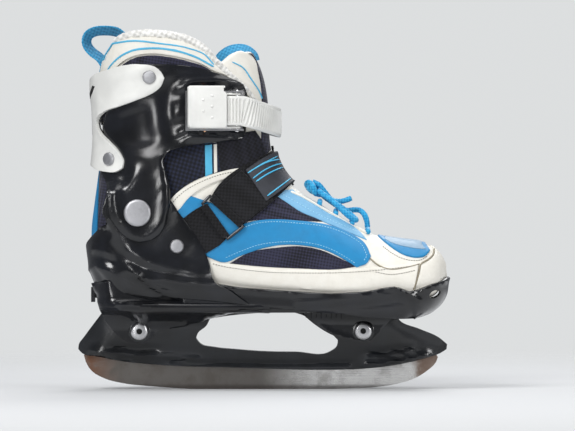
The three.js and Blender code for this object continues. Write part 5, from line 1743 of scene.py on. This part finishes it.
def make_collar_band():
    """The smooth white band below the pile trim."""
    top = collar_layout(3.4)
    low = laid(curve(COLLAR_DOWN, False, 2.5), OUTER)
    back = -math.pi * GIRTH + 0.2
    half = [(low[-1][0] - 2, back)] + low[::-1] + top[1:]
    half.append((top[-1][0], back))
    return wrapped(across_back(half), -0.8, 1.5, BOOT, edge=1.1, segments=3)


piece("collar_band", make_collar_band(), CREAM, "cuff")


def make_dark_collar():
    """Dark mesh between the collar band and the cuff."""
    low = laid(curve(side_view([(226, 100), (180, 98), (130, 100), (100, 125)]), False, 2.5), OUTER)
    top = laid(curve(MESH_TOP, False, 2.5), OUTER)
    back = -math.pi * GIRTH + 0.2
    half = [(low[-1][0], back)] + low[::-1] + top + [(top[-1][0], back)]
    return wrapped(across_back(half), -0.6, 1.75, BOOT, edge=0.5)


piece("collar_mesh", make_dark_collar(), MESH_CLOTH, "cuff")
PIPES = {
    "collar_pipe_upper": ([(99, 88), (103, 65), (115, 45), (135, 42.5), (160, 45), (190, 50),
                           (205, 56), (214, 66)], 0.9),
    "collar_pipe_lower": ([(106, 84), (110, 72), (120, 60), (135, 52), (150, 50), (170, 51),
                           (195, 58), (214, 68)], 1.3),
}
for name, (line, width) in PIPES.items():
    for label, side in (("outer", OUTER), ("inner", INNER)):
        over_cuff(f"{name}_{label}", banded(line, width, side=side), PIPING, 1.0, 1.95, edge=0.35,
                  grid=2)


def make_pile_trim():
    """A fat rolled edge of pile along the collar, from the throat round the back."""
    random.seed(7)
    half = collar_layout(1.0)
    path = []
    for s, t in half:
        p, n = BOOT.look_up(ring_of(s), t / GIRTH)
        path.append(p - n * 2.4)
    path = path + [p * [1, -1, 1] for p in path[::-1]]
    line = through([tuple(p) for p in path], 1.1)
    bm = tube(line, 3.2, False, 5)
    bmesh.ops.subdivide_edges(bm, edges=bm.edges[:], cuts=1, use_grid_fill=True)
    bm.normal_update()
    for v in bm.verts:
        v.co += v.normal * random.uniform(-0.35, 0.75)
    return bm


pile_trim = piece("pile_trim", make_pile_trim(), TERRY, "cuff", angle=0)


def make_lining():
    """The lining inside the ankle and shaft."""
    collar = [(s - 1.5, t) for s, t in collar_layout(1.5)]
    base = along_of(THROAT_RING)
    turn = 2 * math.pi * GIRTH
    slit = [(s, -round_at(s, THROAT + 1)) for s in np.arange(base, collar[0][0] - 1, 3.0)]
    low = [(base - 26, -turn + t) for t in np.arange(0.2, turn - 0.2, 3.0)]
    start = [(base - 26, -0.2)]
    rise = [(s, -0.2) for s in np.arange(base - 23, base - 1, 3.0)]
    cross = [(base, t) for t in np.arange(-2.5, slit[0][1], -3.0)]
    outer = start + rise + cross + slit + collar
    inner = [(s, -turn - t) for s, t in outer]
    return wrapped(outer + inner[::-1][:-1] + low[:-1], -SKIN - 1.2, -SKIN + 0.2, BOOT, edge=0.4,
                   grid=4)


piece("ankle_lining", make_lining(), LINING, "skate", blend=ANKLE)

# White rand beside the eyestay, the badge's paler top, and the heel's blue and black panel.
EYE_EDGE = [(290, 192.5), (305, 199.5), (320, 208), (335, 216.5), (350, 225), (366, 233.5)]
for label, side in (("outer", OUTER), ("inner", INNER)):
    piece(f"eyestay_rand_{label}",
          wrapped(banded(EYE_EDGE, 2.4, side=side), 0.2, 1.7, BOOT, edge=0.6, grid=2), CREAM, "skate",
          blend=TOE)
top_line = laid(curve(side_view(BADGE_TOP[3:] + BADGE_TOP[:1]), False, 2.0), OUTER)
piece("badge_top",
      wrapped(across_front([(top_line[0][0], -0.2)] + top_line + [(top_line[-1][0], -0.2)]), 0.9, 1.65,
              BOOT, edge=0.4, grid=2.2), GREY_BLUE, "skate", blend=TOE)


def over_heel(name, drawing, material, low, high, **more):
    line = laid(curve(side_view(drawing), False, 2.5), OUTER)
    back = -math.pi * GIRTH + 0.2
    half = [(line[0][0], back)] + line + [(line[-1][0], back)]
    return piece(name, wrapped(across_back(half), low, high, BOOT, **more), material, "skate",
                 blend=ANKLE)


over_heel("heel_panel", [(97, 262), (112, 262), (114, 240), (115, 200), (112, 170), (108, 150),
                         (98, 120)], MESH_CLOTH, -0.6, 0.7, edge=0.4)
over_heel("heel_piping", [(92, 245), (99, 243), (99.5, 215), (100, 190), (99, 166), (97, 158)], BLUE_HIDE,
          0.3, 1.5, edge=0.5)

# ------------------------------------------------------------ stitches


def stitches(name, drawing, pitch, height, material=THREAD, long=1.15, wide=0.46, blend=TOE, sides=2,
             form=BOOT, body="skate"):
    """A row of small stitches along a line of the side view."""
    line = []
    for x, z in curve(side_view(drawing), False, 1.0, 60):
        at, out = form.look_up(*form.seat(x, z, OUTER))
        line.append(np.concatenate([at + out * height, out]))
    line = np.array(line)
    run = np.concatenate([[0], np.cumsum(np.linalg.norm(np.diff(line[:, :3], axis=0), axis=1))])
    bm = bmesh.new()
    for at in np.arange(pitch / 2, run[-1] - pitch / 2, pitch):
        a, b, m = (Vector([np.interp(at + d, run, line[:, k]) for k in range(6)]) for d in (-1.2, 1.2, 0))
        along, out = (b - a).to_3d(), Vector(m[3:]).normalized()
        across = out.cross(along).normalized()
        along = across.cross(out)
        turn = Matrix((along, across, out)).transposed().to_4x4()
        place = Matrix.Translation(m.to_3d()) @ turn
        bmesh.ops.create_cube(bm, size=1, matrix=place @ Matrix.Diagonal((long, wide, 0.35, 1)))
    parts = [bm]
    if sides == 2:
        twin = bm.copy()
        for v in twin.verts:
            v.co.y = -v.co.y
        bmesh.ops.recalc_face_normals(twin, faces=twin.faces)
        parts.append(twin)
    return piece(name, join(*parts), material, body, blend=blend, angle=0)


stitches("swoosh_stitches", [(240, 229), (255, 224), (300, 224), (330, 229), (349, 237), (361, 246),
                             (366, 256), (362, 262)], 2.1, 1.2)
stitches("swoosh_stitches_low", [(226, 257.5), (240, 251.5), (260, 244.5), (280, 242),
                                 (300, 242), (325, 247), (345, 257), (356, 264)], 2.1, 1.2)
stitches("mudguard_stitches", [(213, 263), (225, 266), (240, 268.4), (270, 271.6), (300, 272.4),
                               (340, 272), (375, 270), (400, 267.4), (412, 266)], 2.1, 1.25,
         GREY_THREAD)
stitches("eyestay_stitches", [(282, 195), (300, 205.5), (315, 214), (330, 221), (345, 227.5),
                              (358, 233)], 2.3, 1.05)
stitches("badge_stitches", [(382, 246), (389, 251.5), (400, 257.5), (410, 260), (420, 259.5),
                            (426.5, 256)], 1.9, 0.1, GREY_THREAD)
stitches("cap_stitches", [(374, 271.5), (390, 274), (403, 272.4), (414, 270)], 1.9, 1.15, GREY_THREAD)
# Darker strips along the edges of the toe cap and the vamp: painted shade in the grooves of their seams.
SEAM_SHADE_LINES = {
    "cap_seam_shade": [(431, 245), (433.3, 249), (432.2, 254), (426.5, 259.5), (419.5, 264), (417.6, 270),
                 (415, 280), (412.4, 289)],
    "vamp_seam_shade": [(369, 258), (376, 264), (390, 269), (403, 267.6), (418, 264)],
}
for name, line in SEAM_SHADE_LINES.items():
    for label, side in (("outer", OUTER), ("inner", INNER)):
        piece(f"{name}_{label}", wrapped(banded(line, 0.9, side=side), 0.0, 1.35, BOOT, edge=0.2, grid=2),
              SEAM_SHADE, "skate", blend=TOE)
stitches("trim_stitches", [(171, 207), (176, 200), (186, 191), (202, 182), (221, 175), (243, 171)],
         2.0, 1.75, GREY_THREAD, blend=ANKLE)

# The insole lies where the CAD's plain footbed is, narrowed a little and with a rounded rim.
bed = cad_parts["footbed"]
bed_at = np.array([bed.matrix_world @ v.co for v in bed.data.vertices]) / MM
bed_half = bed_at[bed_at[:, 1] > 0]
bed_half = bed_half[np.argsort(bed_half[:, 0])]
heel_x, toe_x = bed_at[:, 0].min() + 0.4, bed_at[:, 0].max() - 0.4
rim = [(x, max(bed_half[np.abs(bed_half[:, 0] - x) < 7, 1].max(initial=2.0) - 0.6, 1.0))
       for x in np.linspace(heel_x, toe_x, 48)]
insole = piece("insole", flat_slab(rim + [(x, -y) for x, y in rim[::-1]], bed_at[:, 2].min(),
                                   bed_at[:, 2].max(), 1.0), LINING, "skate",
               replaces=["footbed"])

# Size ticks moulded on both front lugs, and the finish of the parts shown as they were built.
ticks = []
for k, px in enumerate(range(306, 346, 5)):
    x, z = side_view([(px, 316.5)])[0]
    for side in (OUTER, INNER):
        bar = bmesh.new()
        bmesh.ops.create_cube(bar, size=1, matrix=Matrix.Translation((x, side * 27.0, z + 1.0))
                              @ Matrix.Diagonal((0.6, 3.0, 4.4 if k % 2 else 2.8, 1)))
        bmesh.ops.bevel(bar, geom=bar.edges[:], offset=0.15, segments=1, profile=0.5, affect="EDGES",
                        material=-1)
        ticks.append(bar)
piece("size_ticks", join(*ticks), BLACK, "skate", angle=30)

KEPT = {
    "buckle_base": STEEL, "lever_pin": STEEL, "pawl_pin": COPPER, "buckle_pawl": WHITE,
    "pawl_spring": STEEL, "size_button": BLACK_SATIN,
}
for name, material in KEPT.items():
    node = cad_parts[name]
    if not node.material_slots:
        node.data.materials.append(material)
    node.material_slots[0].link = "OBJECT"
    node.material_slots[0].material = material
# ------------------------------------------------------------ the floor and the light


def make_stage():
    """A round pale floor whose edge fades into the plain background."""
    bm = bmesh.new()
    bmesh.ops.create_circle(bm, cap_ends=True, segments=96, radius=1.4)
    bmesh.ops.recalc_face_normals(bm, faces=bm.faces)
    mesh = bpy.data.meshes.new("floor")
    bm.to_mesh(mesh)
    bm.free()
    floor = bpy.data.objects.new("floor", mesh)
    bpy.context.scene.collection.objects.link(floor)
    m = Made("pale floor")
    x, y = m.axis("X"), m.axis("Y")
    m.link(1 - ((x * x + y * y) ** 0.5).ramp(0.3, 1.3), m.shader.inputs["Alpha"])
    material_on(floor, m.finish((0.66, 0.67, 0.68), 0.8, Specular_IOR_Level=0.1))


def make_world():
    """Dim soft light all round, in front of a plain pale background."""
    world = bpy.data.worlds.new("studio")
    world.use_nodes = True
    tree = world.node_tree
    glow = tree.nodes["Background"]
    glow.inputs["Color"].default_value = (0.9, 0.93, 1, 1)
    glow.inputs["Strength"].default_value = 0.2
    backdrop = tree.nodes.new("ShaderNodeBackground")
    backdrop.inputs["Color"].default_value = (0.72, 0.735, 0.74, 1)
    seen = tree.nodes.new("ShaderNodeLightPath")
    mix = tree.nodes.new("ShaderNodeMixShader")
    tree.links.new(seen.outputs["Is Camera Ray"], mix.inputs[0])
    tree.links.new(glow.outputs[0], mix.inputs[1])
    tree.links.new(backdrop.outputs[0], mix.inputs[2])
    tree.links.new(mix.outputs[0], tree.nodes["World Output"].inputs["Surface"])
    bpy.context.scene.world = world


def area_light(name, place, aim, size, power, tint=(1, 1, 1)):
    data = bpy.data.lights.new(name, "AREA")
    data.shape, data.size, data.energy, data.color = "SQUARE", size, power, tint
    lamp = bpy.data.objects.new(name, data)
    lamp.location = place
    lamp.rotation_euler = (Vector(aim) - Vector(place)).to_track_quat("-Z", "Y").to_euler()
    bpy.context.scene.collection.objects.link(lamp)


make_stage()
area_light("key", (-1.0, -1.4, 1.5), (0, 0, 0.12), 0.8, 30)
area_light("top", (0.3, -0.1, 1.7), (0, 0, 0.1), 1.4, 14)
area_light("front", (1.3, -1.3, 0.5), (0, 0, 0.12), 0.5, 10)
area_light("strip", (-0.6, -1.6, 0.25), (0, 0, 0.1), 0.3, 3)
area_light("behind", (0.4, 1.5, 1.3), (0, 0, 0.12), 1.2, 16)
make_world()
bpy.context.scene.view_settings.view_transform = "Standard"
